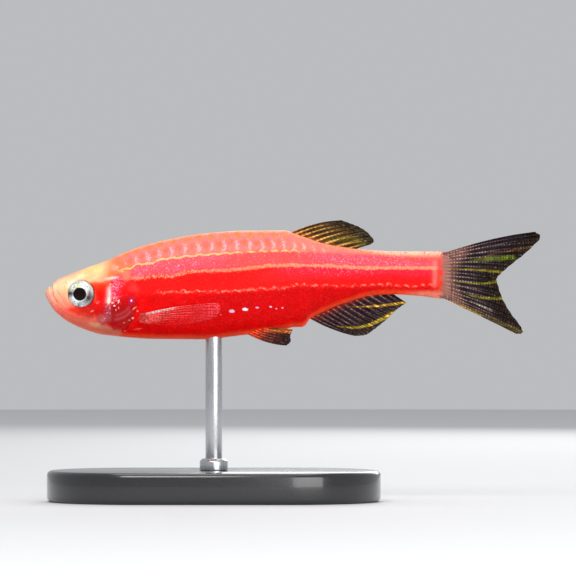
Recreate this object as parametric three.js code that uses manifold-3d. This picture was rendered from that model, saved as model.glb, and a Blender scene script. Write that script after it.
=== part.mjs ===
// A red zebra danio, life size, swimming level above a small display stand.
// Millimetres, +Z up. The fish faces -X and shows its left side to -Y.
// The origin lies under the middle of the fish's whole length, on the stand's underside.
// Fish coordinates run along X from the snout tip, and Z is the height above the swimming line.

import * as THREE from "three";
import { mergeVertices } from "three/addons/utils/BufferGeometryUtils.js";
import Module from "manifold-3d";

const wasm = await Module();
wasm.setup();

// Driving dimensions
const STANDARD_LENGTH = 38;
const GAP = 0.3;
const MEMBRANE = 0.5;
const RAY_RIDGE = 0.09;
const FAR = 40;
const THROUGH = 20;

// Body shape, in percent of the standard length: [distance behind the snout, value]
const PERCENT = STANDARD_LENGTH / 100;
const BACK = [
  [0, -3.28], [0.2, -2.5], [0.8, -1.8], [1.5, -1.55], [2, -0.8], [3, 0.2], [5.6, 1.3], [10.2, 3.15],
  [15.3, 4.95], [21.8, 7.8], [29.9, 10.1], [40, 11.85], [50, 12.55], [60, 12.6], [64.7, 11.2],
  [70.8, 9.25], [80.3, 7.8], [90, 7.3], [100, 7.3],
];
const BELLY = [
  [0, -3.28], [0.2, -4.0], [0.8, -5.3], [2.7, -8.0], [6.2, -10.65], [11.7, -12.95], [14.5, -13.65],
  [27.9, -14.75], [40, -14.85], [48, -14.0], [60, -12.4], [64.6, -11.4], [65.8, -10.4], [68, -8.95],
  [75.8, -5.7], [82.6, -3.85], [87, -3.5], [94.5, -3.9], [100, -4.55],
];
const HALF_BREADTH = [
  [0, 0.55], [0.2, 1.1], [0.8, 1.95], [3, 3.3], [6, 4.4], [10, 5.3], [15, 6.1], [20, 6.7],
  [28, 7.25], [40, 7.4], [50, 7.0], [60, 6.05], [70, 4.75], [80, 3.6], [90, 2.7], [96, 2.0], [100, 1.45],
];
const WIDEST_SHARE = [[0, 0.5], [8, 0.46], [20, 0.5], [40, 0.54], [70, 0.52], [100, 0.5]];
const BACK_POWER = [[0, 2], [8, 2.25], [22, 2.1], [60, 2], [100, 2.1]];
const BELLY_POWER = [[0, 2], [10, 1.9], [30, 2.15], [55, 2.0], [70, 1.8], [100, 2.1]];
const AROUND = 32;
const ALONG = 54;
const CORE_ROWS = 24;
const CORE_REACH = 40;
const SNOUT_CROWDING = 1.45;
const THINNEST = 0.02;

// Head
const HEAD_REAR = { x: 10.45, z: -4.08, radius: 12.8 };
const COVER = { front: 15.4, top: 0.9, bottom: -12.7, thick: 0.55, proud: 0.12 };
const THROAT_HALF = 0.3;
const EYE = { x: 9.05, z: -3.53, radius: 3.33, pupil: 1.55, proud: 0.95, deep: 3.0 };
const EYE_SET = { turn: 8, inset: 0.1, sides: 22 };
const MOUTH = { x: 1.62, z: -1.2, cornerX: 3.25, cornerZ: -5.9, halfGape: 0.26, deep: 0.24 };
const LIP = { radius: 0.5, cornerRadius: 0.3, shiftX: 0.72, shiftZ: 0.42, narrowing: 0.55 };
const LIP_SINK = { under: 0.3, inwards: 0.12 };
const NOSTRIL = { x: 5.7, z: -0.6, radius: 0.55 };
const BARBEL = { root: 0.42, tip: 0.18, sink: 0.14, stand: 0.05 };
const TAIL_CUT = 89;

// Stand
const BASE = { length: 32, width: 18, thick: 3, bevel: 0.5 };
const ROD = { x: 42.5, radius: 0.8, length: 12, spare: 1 };

const FLESH = new THREE.MeshStandardMaterial({ color: 0xe8261f, roughness: 0.35, metalness: 0 });
const HEAD_SKIN = new THREE.MeshStandardMaterial({ color: 0xf08a62, roughness: 0.35, metalness: 0 });
const COVER_SKIN = new THREE.MeshStandardMaterial({ color: 0xd8304a, roughness: 0.25, metalness: 0.2 });
const FIN_FILM = new THREE.MeshStandardMaterial({ color: 0x6a6040, roughness: 0.4, metalness: 0 });
const EYE_SILVER = new THREE.MeshStandardMaterial({ color: 0xb8bcc0, roughness: 0.15, metalness: 0.7 });
const STAND_BLACK = new THREE.MeshStandardMaterial({ color: 0x1c1c1e, roughness: 0.35, metalness: 0 });
const ROD_STEEL = new THREE.MeshStandardMaterial({ color: 0xa8abb0, roughness: 0.25, metalness: 1 });

// A smooth line through [position, value] pairs that never overshoots them.
function profile(pairs) {
  const last = pairs.length - 1;
  const rise = [];
  for (let i = 0; i < last; i += 1) {
    rise.push((pairs[i + 1][1] - pairs[i][1]) / (pairs[i + 1][0] - pairs[i][0]));
  }
  const slope = pairs.map((_, i) => {
    if (i === 0) return rise[0];
    if (i === last) return rise[last - 1];
    const product = rise[i - 1] * rise[i];
    return product > 0 ? (2 * product) / (rise[i - 1] + rise[i]) : 0;
  });
  return (at) => {
    const x = THREE.MathUtils.clamp(at, pairs[0][0], pairs[last][0]);
    let i = 0;
    while (i < last - 1 && x > pairs[i + 1][0]) i += 1;
    const step = pairs[i + 1][0] - pairs[i][0];
    const t = (x - pairs[i][0]) / step;
    const a = pairs[i][1];
    const b = pairs[i + 1][1];
    return (
      a * (1 + 2 * t) * (1 - t) ** 2 + b * t * t * (3 - 2 * t) +
      step * (slope[i] * t * (1 - t) ** 2 - slope[i + 1] * t * t * (1 - t))
    );
  };
}

const backLine = profile(BACK);
const bellyLine = profile(BELLY);
const halfBreadth = profile(HALF_BREADTH);
const widestShare = profile(WIDEST_SHARE);
const backPower = profile(BACK_POWER);
const bellyPower = profile(BELLY_POWER);

// The body's cross-section at x percent, grown outwards by grow millimetres.
function sectionAt(x, grow = 0) {
  const top = backLine(x);
  const bottom = bellyLine(x);
  const widest = bottom + (top - bottom) * widestShare(x);
  return {
    widest: widest * PERCENT,
    up: Math.max(THINNEST, (top - widest) * PERCENT + grow),
    down: Math.max(THINNEST, (widest - bottom) * PERCENT + grow),
    half: Math.max(THINNEST, halfBreadth(x) * PERCENT + grow),
    upPower: backPower(x),
    downPower: bellyPower(x),
  };
}

// Half the body's breadth, in millimetres, at x and z percent.
function flankAt(x, z, grow = 0) {
  const cut = sectionAt(x, grow);
  const rise = z * PERCENT - cut.widest;
  const height = rise > 0 ? cut.up : cut.down;
  const power = rise > 0 ? cut.upPower : cut.downPower;
  const share = Math.min(1, Math.abs(rise) / height);
  return cut.half * (1 - share ** power) ** (1 / power);
}

// A point on the skin at x and z percent, on the side given by 1 or -1.
function onSkin(x, z, side, grow = 0) {
  return new THREE.Vector3(x * PERCENT, side * flankAt(x, z, grow), z * PERCENT);
}

// A closed skin over rings of points, each ring running the same way round.
function skinOver(rings) {
  const around = rings[0].length;
  const points = rings.flat();
  const middle = (ring) => ring.reduce((sum, p) => sum.add(p), new THREE.Vector3()).divideScalar(ring.length);
  const start = points.push(middle(rings[0])) - 1;
  const end = points.push(middle(rings[rings.length - 1])) - 1;
  const corners = [];
  for (let j = 0; j < around; j += 1) {
    const next = (j + 1) % around;
    for (let i = 0; i < rings.length - 1; i += 1) {
      const a = i * around + j;
      const b = i * around + next;
      corners.push(a, b, b + around, a, b + around, a + around);
    }
    const rear = (rings.length - 1) * around;
    corners.push(start, next, j, end, rear + j, rear + next);
  }
  return new THREE.BufferGeometry().setFromPoints(points).setIndex(corners);
}

// A geometry as a solid that can be cut and joined, turned right side out if need be.
function solidOf(geometry) {
  const bare = geometry.clone();
  bare.deleteAttribute("normal");
  bare.deleteAttribute("uv");
  const merged = mergeVertices(bare, 1e-5);
  const triVerts = new Uint32Array(merged.index.array);
  const vertProperties = merged.attributes.position.array;
  const made = new wasm.Manifold(new wasm.Mesh({ numProp: 3, vertProperties, triVerts }));
  if (made.volume() > 0) return made;
  for (let i = 0; i < triVerts.length; i += 3) {
    [triVerts[i + 1], triVerts[i + 2]] = [triVerts[i + 2], triVerts[i + 1]];
  }
  return new wasm.Manifold(new wasm.Mesh({ numProp: 3, vertProperties, triVerts }));
}

// Solids in order of volume, the largest one first.
function bySize(solids) {
  return solids.sort((a, b) => b.volume() - a.volume());
}

// A named mesh of a solid's largest closed surface.
function meshOf(name, solid, material) {
  const { vertProperties, triVerts } = bySize(solid.decompose())[0].getMesh();
  const geometry = new THREE.BufferGeometry();
  geometry.setAttribute("position", new THREE.BufferAttribute(new Float32Array(vertProperties), 3));
  geometry.setIndex(new THREE.BufferAttribute(new Uint32Array(triVerts), 1));
  geometry.computeVertexNormals();
  const mesh = new THREE.Mesh(geometry, material);
  mesh.name = name;
  return mesh;
}

// The whole body from snout to tail root, grown by some millimetres, as far back as a given percent.
function bodyLoft(grow = 0, until = 100, rows = ALONG) {
  const rings = [];
  const reach = grow / PERCENT;
  for (let i = 0; i <= rows; i += 1) {
    const share = (i / rows) ** SNOUT_CROWDING;
    const x = until * share;
    const cut = sectionAt(x, grow);
    const along = (x + reach * (2 * share - 1)) * PERCENT;
    rings.push(
      Array.from({ length: AROUND }, (_, j) => {
        const angle = (2 * Math.PI * j) / AROUND;
        const power = Math.sin(angle) > 0 ? cut.upPower : cut.downPower;
        const height = Math.sin(angle) > 0 ? cut.up : cut.down;
        const across = Math.sign(Math.cos(angle)) * Math.abs(Math.cos(angle)) ** (2 / power);
        const above = Math.sign(Math.sin(angle)) * Math.abs(Math.sin(angle)) ** (2 / power);
        return new THREE.Vector3(along, cut.half * across, cut.widest + height * above);
      }),
    );
  }
  return solidOf(skinOver(rings));
}

// A flat outline, in percent along the body and up, pushed through it from side to side.
function acrossBody(shape, curveSegments = 8) {
  const geometry = new THREE.ExtrudeGeometry(shape, { depth: THROUGH, bevelEnabled: false, curveSegments });
  geometry.translate(0, 0, -THROUGH / 2);
  geometry.rotateX(Math.PI / 2);
  geometry.scale(PERCENT, 1, PERCENT);
  return solidOf(geometry);
}

// The outline of the head, whose rear edge is the arc of the gill opening.
function headOutline(grow) {
  const radius = HEAD_REAR.radius + grow / PERCENT;
  const shape = new THREE.Shape();
  shape.moveTo(-FAR, -FAR);
  shape.lineTo(HEAD_REAR.x, -FAR);
  shape.lineTo(HEAD_REAR.x, HEAD_REAR.z - radius);
  shape.absarc(HEAD_REAR.x, HEAD_REAR.z, radius, -Math.PI / 2, Math.PI / 2, false);
  shape.lineTo(HEAD_REAR.x, FAR);
  shape.lineTo(-FAR, FAR);
  return shape;
}

// The outline of a gill cover, grown by some millimetres. Its rear edge is the gill opening.
function coverOutline(grow) {
  const wider = grow / PERCENT;
  const radius = HEAD_REAR.radius + wider;
  const top = COVER.top + wider;
  const bottom = COVER.bottom - wider;
  const front = COVER.front - wider;
  const topAngle = Math.asin((top - 1.6 - HEAD_REAR.z) / radius);
  const bottomAngle = Math.asin((bottom + 1.2 - HEAD_REAR.z) / radius);
  const shape = new THREE.Shape();
  shape.moveTo(front + 0.8, top);
  shape.lineTo(front + 4.2, top);
  shape.quadraticCurveTo(
    front + 6.2, top, HEAD_REAR.x + radius * Math.cos(topAngle), HEAD_REAR.z + radius * Math.sin(topAngle),
  );
  shape.absarc(HEAD_REAR.x, HEAD_REAR.z, radius, topAngle, bottomAngle, true);
  shape.quadraticCurveTo(front + 3.2, bottom - 0.2, front - 1, bottom);
  shape.quadraticCurveTo(front + 0.3, bottom + 6, front, COVER.top - 3.4);
  shape.quadraticCurveTo(front, top - 0.5, front + 0.8, top);
  return shape;
}

// A round tube along a smooth line through some points, whose radius follows the share of the way.
function tubeThrough(points, radiusAt, steps, sides) {
  const curve = new THREE.CatmullRomCurve3(points);
  const frames = curve.computeFrenetFrames(steps, false);
  const rings = [];
  for (let i = 0; i <= steps; i += 1) {
    const at = curve.getPointAt(i / steps);
    const radius = radiusAt(i / steps) * PERCENT;
    rings.push(
      Array.from({ length: sides }, (_, j) => {
        const angle = (2 * Math.PI * j) / sides;
        return at
          .clone()
          .addScaledVector(frames.normals[i], radius * Math.cos(angle))
          .addScaledVector(frames.binormals[i], radius * Math.sin(angle));
      }),
    );
  }
  return solidOf(skinOver(rings));
}

// The line where the jaws meet, from the front (0) to the corner of the mouth (1), in percent.
function jawLine(share) {
  const front = new THREE.Vector2(MOUTH.x, MOUTH.z);
  const corner = new THREE.Vector2(MOUTH.cornerX, MOUTH.cornerZ);
  const bend = new THREE.Vector2(MOUTH.x + 0.35, THREE.MathUtils.lerp(MOUTH.z, MOUTH.cornerZ, 0.6));
  return new THREE.QuadraticBezierCurve(front, bend, corner).getPoint(share);
}

// One lip: a ridge from one mouth corner over the front of the jaws to the other.
// side is 1 for the upper lip and -1 for the lower one.
function lip(side) {
  const points = [];
  const steps = 5;
  for (let i = -steps; i <= steps; i += 1) {
    const share = Math.abs(i) / steps;
    const line = jawLine(share);
    const spread = side * (1 - LIP.narrowing * share);
    const x = line.x + LIP.shiftX * spread;
    const z = Math.min(line.y + LIP.shiftZ * spread, backLine(x) - LIP_SINK.under);
    points.push(onSkin(x, z, Math.sign(i), -LIP_SINK.inwards));
  }
  const radiusAt = (share) => THREE.MathUtils.lerp(LIP.radius, LIP.cornerRadius, Math.abs(2 * share - 1));
  return tubeThrough(points, radiusAt, 14, 8);
}

// The groove between the jaws, widest at the front and closed at the corner of the mouth.
function mouthGroove() {
  const { x, z, cornerX, cornerZ, halfGape, deep } = MOUTH;
  const middle = jawLine(0.55);
  const shape = new THREE.Shape();
  shape.moveTo(x - halfGape, z + 1.8);
  shape.lineTo(x - halfGape, z);
  shape.quadraticCurveTo(middle.x - halfGape, middle.y, cornerX, cornerZ);
  shape.quadraticCurveTo(middle.x + halfGape, middle.y, x + halfGape, z);
  shape.lineTo(x + halfGape, z + 1.8);
  return acrossBody(shape).subtract(bodyLoft(-deep, CORE_REACH, CORE_ROWS));
}

// One barbel, lying back along the skin from its sunken root.
function barbel(path, side) {
  const points = path.map(([x, z], i) => onSkin(x, z, side, i === 0 ? -BARBEL.sink : BARBEL.stand));
  return tubeThrough(points, (share) => THREE.MathUtils.lerp(BARBEL.root, BARBEL.tip, share), 6, 6);
}

const ROSTRAL_BARBEL = [[3.0, -2.2], [3.7, -3.0], [4.5, -4.2], [5.1, -5.6]];
const MAXILLARY_BARBEL = [[3.5, -6.3], [5.2, -7.7], [7.6, -8.9], [10.4, -9.6]];

// The round back of an eye, as lathe points from the deepest one out to the rim.
function roundBack(radius, deep, steps) {
  return Array.from({ length: steps + 1 }, (_, i) => {
    const angle = (Math.PI / 2) * (i / steps);
    return new THREE.Vector2(radius * Math.sin(angle), -deep * Math.cos(angle));
  });
}

// An eyeball turned on its own axis: domed pupil, ringed iris and a deep round back.
function eyeball() {
  const radius = EYE.radius * PERCENT;
  const pupil = EYE.pupil * PERCENT;
  const proud = EYE.proud * PERCENT;
  const front = [
    [radius * 0.95, proud * 0.36], [radius * 0.78, proud * 0.62], [pupil * 1.15, proud * 0.76],
    [pupil, proud * 0.9], [pupil * 0.55, proud * 1.02], [0, proud * 1.06],
  ];
  const dome = front.map(([r, h]) => new THREE.Vector2(r, h));
  const outline = roundBack(radius, EYE.deep * PERCENT, 4).concat(dome);
  return new THREE.LatheGeometry(outline, EYE_SET.sides);
}

// The socket that an eyeball sits in, open to the outside.
function eyeSocket() {
  const radius = EYE.radius * PERCENT + GAP;
  const outline = roundBack(radius, EYE.deep * PERCENT + GAP, 4);
  outline.push(new THREE.Vector2(radius, 2), new THREE.Vector2(0, 2));
  return new THREE.LatheGeometry(outline, EYE_SET.sides);
}

// Where an eye's iris plane lies, and which way it looks.
function setEye(geometry, side) {
  geometry.rotateX(side > 0 ? 0 : Math.PI);
  geometry.rotateZ(THREE.MathUtils.degToRad(side * EYE_SET.turn));
  const depth = flankAt(EYE.x, EYE.z) - EYE_SET.inset;
  return geometry.translate(EYE.x * PERCENT, side * depth, EYE.z * PERCENT);
}

function eye(side) {
  return solidOf(setEye(eyeball(), side));
}

// The hollows that the head carries: eye sockets, nostrils and the slit of the mouth.
function headHollows() {
  let hollows = mouthGroove();
  for (const side of [-1, 1]) {
    const pit = new THREE.SphereGeometry(NOSTRIL.radius * PERCENT, 8, 6);
    const place = onSkin(NOSTRIL.x, NOSTRIL.z, side);
    pit.translate(place.x, place.y, place.z);
    hollows = hollows.add(solidOf(pit)).add(solidOf(setEye(eyeSocket(), side)));
  }
  return hollows;
}

// The strip of throat that keeps the two gill covers apart.
function throat(half) {
  return solidOf(new THREE.BoxGeometry(FAR, 2 * half, FAR));
}

function head(whole) {
  const core = bodyLoft(-COVER.thick - GAP, CORE_REACH, CORE_ROWS).add(throat(THROAT_HALF));
  const coverBed = acrossBody(coverOutline(GAP)).subtract(core);
  let made = whole.intersect(acrossBody(headOutline(0)));
  made = made.add(lip(1)).add(lip(-1));
  made = made.subtract(headHollows()).subtract(coverBed);
  for (const side of [-1, 1]) {
    made = made.add(barbel(ROSTRAL_BARBEL, side)).add(barbel(MAXILLARY_BARBEL, side));
  }
  return made;
}

// Both gill covers, the left one first.
function gillCovers() {
  const outer = bodyLoft(COVER.proud, CORE_REACH, CORE_ROWS);
  const inner = bodyLoft(-COVER.thick, CORE_REACH, CORE_ROWS).add(throat(THROAT_HALF + GAP));
  const plates = bySize(outer.intersect(acrossBody(coverOutline(0))).subtract(inner).decompose());
  return plates.slice(0, 2).sort((a, b) => a.boundingBox().min[1] - b.boundingBox().min[1]);
}

// A fin as one plate whose rays stand out as ridges on both faces.
// root and tip give a ray's ends across the fin, sweep bends the rays, and place sets a point in space.
function finPlate({ rays, rows, root, tip, sweep, rootHalf, tipHalf, notch, place }) {
  const columns = 2 * rays - 1;
  const faces = [[], []];
  for (let i = 0; i < columns; i += 1) {
    const across = i / (columns - 1);
    const isRay = i % 2 === 0;
    const from = root(across);
    const to = tip(across).clone().lerp(from, isRay ? 0 : notch);
    const bend = from.clone().add(to).multiplyScalar(0.5).add(sweep(across));
    const ray = new THREE.QuadraticBezierCurve(from, bend, to);
    for (let j = 0; j <= rows; j += 1) {
      const along = j / rows;
      const at = ray.getPoint(along);
      const thin = THREE.MathUtils.lerp(rootHalf, MEMBRANE / 2, Math.min(1, along * 3));
      const ridge = isRay ? RAY_RIDGE * (1 - along * 0.5) : 0;
      const fade = THREE.MathUtils.smoothstep(along, 0.8, 1);
      const half = THREE.MathUtils.lerp(thin + ridge, tipHalf, fade);
      faces[0].push(place(at, half));
      faces[1].push(place(at, -half));
    }
  }
  const points = [...faces[0], ...faces[1]];
  const under = faces[0].length;
  const stride = rows + 1;
  const corners = [];
  const quad = (a, b, c, d) => corners.push(a, b, c, a, c, d);
  for (let i = 0; i < columns - 1; i += 1) {
    for (let j = 0; j < rows; j += 1) {
      const a = i * stride + j;
      const b = a + stride;
      corners.push(a, b, b + 1, a, b + 1, a + 1);
      corners.push(under + a, under + b + 1, under + b, under + a, under + a + 1, under + b + 1);
    }
    const near = i * stride;
    quad(near, under + near, under + near + stride, near + stride);
    const far = near + rows;
    quad(far, far + stride, under + far + stride, under + far);
  }
  const lastColumn = (columns - 1) * stride;
  for (let j = 0; j < rows; j += 1) {
    quad(j, j + 1, under + j + 1, under + j);
    const a = lastColumn + j;
    quad(a, under + a, under + a + 1, a + 1);
  }
  return solidOf(new THREE.BufferGeometry().setFromPoints(points).setIndex(corners));
}

// A smooth flat line through points given in percent.
function outline(pairs) {
  const curve = new THREE.SplineCurve(pairs.map(([x, z]) => new THREE.Vector2(x, z)));
  return (share) => curve.getPoint(share);
}

// A point of a fin that stands in the middle plane of the fish.
function inMiddle(at, half) {
  return new THREE.Vector3(at.x * PERCENT, half, at.y * PERCENT);
}

const MEDIAN_FIN = { rows: 7, tipHalf: 0.17, rootHalf: 0.42, notch: 0.025, place: inMiddle };

function tailFin() {
  return finPlate({
    ...MEDIAN_FIN,
    rays: 19,
    rows: 8,
    root: outline([[100.8, 7.1], [101.1, 4], [101.1, -1], [100.8, -4.4]]),
    tip: outline([
      [123.6, 12.3], [124.9, 10.8], [121.6, 7.3], [118.0, 4.4], [115.2, 2.0], [113.9, 0.5],
      [114.2, -1.2], [115.4, -4.7], [117.4, -8.2], [119.8, -11.4], [120.4, -13.2], [118.9, -13.5],
    ]),
    sweep: (across) => new THREE.Vector2(0.3, 1.5 * (1 - across) ** 2),
    rootHalf: 0.5,
  });
}

function dorsalFin() {
  return finPlate({
    ...MEDIAN_FIN,
    rays: 9,
    root: outline([[60.6, 11.4], [66.8, 9.4], [76.4, 7.2]]),
    tip: outline([[74.8, 15.2], [77.0, 14.4], [79.2, 13.5], [81.2, 12.2], [82.9, 10.1], [82.0, 9.1]]),
    sweep: (across) => new THREE.Vector2(-0.2, 1.7 * (1 - across)),
  });
}

function analFin() {
  return finPlate({
    ...MEDIAN_FIN,
    rays: 14,
    root: outline([[65.0, -8.6], [70.6, -6.2], [77.5, -3.8], [86.2, -2.3]]),
    tip: outline([
      [78.2, -14.0], [80.9, -13.7], [82.9, -12.4], [86.0, -9.9], [88.6, -7.4], [91.1, -5.6],
    ]),
    sweep: (across) => new THREE.Vector2(-0.1, -1.3 * (1 - across)),
  });
}

// A paired fin comes out of the skin, turns back along the body and leans away from it.
// The hinge is its root in percent along and up, and in millimetres from the middle plane.
function pairedFin(side, { hinge, splay, lean, lift, bend }, plate) {
  const out = Math.tan(THREE.MathUtils.degToRad(splay));
  const tilt = Math.tan(THREE.MathUtils.degToRad(lean));
  const place = (at, half) => {
    const along = (at.x - hinge.x) * PERCENT;
    const up = (at.y - hinge.z) * PERCENT;
    const outwards = (lift * along) / (along + bend) + along * out - up * tilt;
    return new THREE.Vector3(at.x * PERCENT, side * (hinge.y + outwards + half), at.y * PERCENT);
  };
  return finPlate({ ...plate, place });
}

function pectoralFin(side) {
  const hinge = { x: 24.2, z: -8.8, y: flankAt(24.2, -8.8) - 0.2 };
  return pairedFin(side, { hinge, splay: 7, lean: 12, lift: 0.75, bend: 0.5 }, {
    rays: 11,
    rows: 7,
    rootHalf: 0.34,
    tipHalf: 0.17,
    notch: 0.02,
    root: outline([[24.4, -8.6], [24.2, -9.6], [24.5, -10.6]]),
    tip: outline([[43.9, -5.7], [44.3, -7.1], [43.3, -8.9], [40.2, -10.2], [35.2, -10.9], [30.2, -11.3]]),
    sweep: (across) => new THREE.Vector2(0, 1.1 * (1 - across)),
  });
}

function pelvicFin(side) {
  const hinge = { x: 50.6, z: -13.2, y: 0.55 };
  return pairedFin(side, { hinge, splay: 9, lean: 24, lift: 0.2, bend: 0.4 }, {
    rays: 7,
    rows: 6,
    rootHalf: 0.3,
    tipHalf: 0.17,
    notch: 0.03,
    root: outline([[50.6, -13.2], [52.4, -12.5], [54.8, -11.8]]),
    tip: outline([[60.9, -16.3], [61.9, -15.3], [61.8, -14.0], [62.4, -12.4]]),
    sweep: (across) => new THREE.Vector2(-0.1, -1.3 * (1 - across)),
  });
}

function standBase() {
  const end = BASE.width / 2 - BASE.bevel;
  const half = BASE.length / 2 - BASE.width / 2;
  const shape = new THREE.Shape();
  shape.absarc(half, 0, end, -Math.PI / 2, Math.PI / 2, false);
  shape.absarc(-half, 0, end, Math.PI / 2, 1.5 * Math.PI, false);
  const geometry = new THREE.ExtrudeGeometry(shape, {
    depth: BASE.thick - 2 * BASE.bevel,
    bevelThickness: BASE.bevel,
    bevelSize: BASE.bevel,
    bevelSegments: 2,
    curveSegments: 12,
  });
  return solidOf(geometry.translate(0, 0, BASE.bevel));
}

// The rod stands on the base, and its head is cut to the belly's curve.
function standRod(foot, top, cutter) {
  const geometry = new THREE.CylinderGeometry(ROD.radius, ROD.radius, top - foot, 20);
  geometry.rotateX(Math.PI / 2).translate(0, 0, (top + foot) / 2);
  return solidOf(geometry).subtract(cutter);
}

const whole = bodyLoft();
const nearBody = bodyLoft(GAP);
const behindHead = whole.subtract(acrossBody(headOutline(GAP)));
const slab = new THREE.BoxGeometry(GAP, FAR, FAR).translate(TAIL_CUT * PERCENT, 0, 0);
const [trunk, tailStem] = bySize(behindHead.subtract(solidOf(slab)).decompose());
const [leftCover, rightCover] = gillCovers();

const fish = new THREE.Group();
fish.add(
  meshOf("head", head(whole), HEAD_SKIN),
  meshOf("gill_cover_left", leftCover, COVER_SKIN),
  meshOf("gill_cover_right", rightCover, COVER_SKIN),
  meshOf("eye_left", eye(-1), EYE_SILVER),
  meshOf("eye_right", eye(1), EYE_SILVER),
  meshOf("trunk", trunk, FLESH),
  meshOf("tail_stem", tailStem, FLESH),
  meshOf("tail_fin", tailFin(), FIN_FILM),
  meshOf("dorsal_fin", dorsalFin().subtract(nearBody), FIN_FILM),
  meshOf("anal_fin", analFin().subtract(nearBody), FIN_FILM),
  meshOf("pectoral_fin_left", pectoralFin(-1).subtract(nearBody), FIN_FILM),
  meshOf("pectoral_fin_right", pectoralFin(1).subtract(nearBody), FIN_FILM),
  meshOf("pelvic_fin_left", pelvicFin(-1).subtract(nearBody), FIN_FILM),
  meshOf("pelvic_fin_right", pelvicFin(1).subtract(nearBody), FIN_FILM),
);
const fishMiddle = new THREE.Box3().setFromObject(fish).getCenter(new THREE.Vector3()).x;
const bellyAtRod = bellyLine(ROD.x) * PERCENT;
const swimmingHeight = BASE.thick + ROD.length + 2 * GAP - bellyAtRod;
fish.position.set(-fishMiddle, 0, swimmingHeight);

const rodX = ROD.x * PERCENT - fishMiddle;
const cutter = nearBody.translate([-ROD.x * PERCENT, 0, swimmingHeight]);
const stand = new THREE.Group();
stand.position.x = rodX;
stand.add(
  meshOf("stand_base", standBase(), STAND_BLACK),
  meshOf("stand_rod", standRod(BASE.thick + GAP, swimmingHeight + bellyAtRod + ROD.spare, cutter), ROD_STEEL),
);

const danio = new THREE.Group();
danio.add(fish, stand);

export default danio;
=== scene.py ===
"""A red zebra danio, life size, as a still museum model on a small display stand.

Metres, +Z up. The fish faces -X and shows its left side to -Y. Places on it are given in percent of
its standard length: x runs from the snout tip towards the tail, z is the height above the swimming line.
"""

import logging
import math
from dataclasses import dataclass
from enum import Enum

import bmesh
import bpy
import numpy as np
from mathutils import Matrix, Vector


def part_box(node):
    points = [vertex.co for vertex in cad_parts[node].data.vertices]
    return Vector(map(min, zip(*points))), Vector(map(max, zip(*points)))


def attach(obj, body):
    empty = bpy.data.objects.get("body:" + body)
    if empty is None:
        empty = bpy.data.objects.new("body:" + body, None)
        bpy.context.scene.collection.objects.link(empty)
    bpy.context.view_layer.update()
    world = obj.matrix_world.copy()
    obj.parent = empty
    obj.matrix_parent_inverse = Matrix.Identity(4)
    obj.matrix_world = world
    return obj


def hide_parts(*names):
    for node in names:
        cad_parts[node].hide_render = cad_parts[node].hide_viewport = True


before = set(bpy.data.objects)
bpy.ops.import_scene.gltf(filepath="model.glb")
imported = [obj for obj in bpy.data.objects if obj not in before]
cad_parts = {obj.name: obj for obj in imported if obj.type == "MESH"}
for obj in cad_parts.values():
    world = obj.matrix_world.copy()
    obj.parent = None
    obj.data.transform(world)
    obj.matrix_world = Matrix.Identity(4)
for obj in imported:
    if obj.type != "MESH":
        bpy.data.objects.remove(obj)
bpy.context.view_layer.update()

LOG = logging.getLogger("danio")
logging.basicConfig(level=logging.INFO, format="%(message)s")

STANDARD_LENGTH = 0.038
PERCENT = STANDARD_LENGTH / 100
MM = 0.001
HIGHEST_BACK = 12.6
ORIGIN = np.array([
    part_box("tail_stem")[1].x - 100 * PERCENT, 0.0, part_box("trunk")[1].z - HIGHEST_BACK * PERCENT,
])
EYE_PLACE = (9.22, -3.4)
EYE_RADIUS = 3.33
ROOT_BODY = "root"
Triple = tuple[float, float, float]
Colour = Triple
Pairs = tuple[tuple[float, float], ...]
Rows = np.ndarray
Edge = float | Rows
Piece = bpy.types.Object
Socket = bpy.types.NodeSocket
Value = float | Socket


def frame_rows(rows: Rows) -> Rows:
    """Places in percent, as x, y and z, turned into places in the frame, in metres."""
    return rows * PERCENT + ORIGIN


def frame_point(x: float, z: float) -> Vector:
    """A place in percent, in the fish's middle plane, turned into a place in the frame."""
    return Vector(frame_rows(np.array([x, 0.0, z])))


class Side(Enum):
    """The two sides of the fish, as the sign of Y."""

    LEFT = -1
    RIGHT = 1

    @property
    def word(self) -> str:
        """The side's name, as the pieces' names have it."""
        return self.name.lower()


def smooth(low: Edge, high: Edge, at: Rows) -> Rows:
    """A soft step.

    Args:
        low: Where the step starts.
        high: Where it ends.
        at: The places to read it at.

    Returns:
        0 before low, 1 after high, and a smooth rise between them.
    """
    share = np.clip((at - low) / np.maximum(high - low, 1e-6), 0.0, 1.0)
    return share * share * (3 - 2 * share)


def layered(under: Colour | Rows, *layers: tuple[Colour | Rows, Rows]) -> Rows:
    """Lays colours over one another in turn.

    Args:
        under: One colour, or rows of colour.
        layers: What to lay on it, each as a colour or rows of colour, and how much of it covers each row.

    Returns:
        The mixed rows.
    """
    for over, amount in layers:
        under = blend(under, over, amount)
    return under


def span(at: Rows, low: Edge, full: Edge, fade: Edge, high: Edge) -> Rows:
    """1 from full to fade and 0 outside low and high, with a smooth rise and fall between them."""
    return smooth(low, full, at) * (1 - smooth(fade, high, at))


def bell(distance: Rows, width: float) -> Rows:
    """A soft hump of height 1 at distance 0, whose half width is about width."""
    return np.exp(-((distance / width) ** 2))


def blend(under: Colour | Rows, over: Colour | Rows, amount: Rows) -> Rows:
    """Lays one colour over another.

    Args:
        under: One colour, or rows of colour.
        over: One colour, or rows of colour.
        amount: How much of it covers each row, 0 to 1.

    Returns:
        The mixed rows.
    """
    weight = np.asarray(amount)[:, None]
    return np.asarray(under) * (1 - weight) + np.asarray(over) * weight


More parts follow.
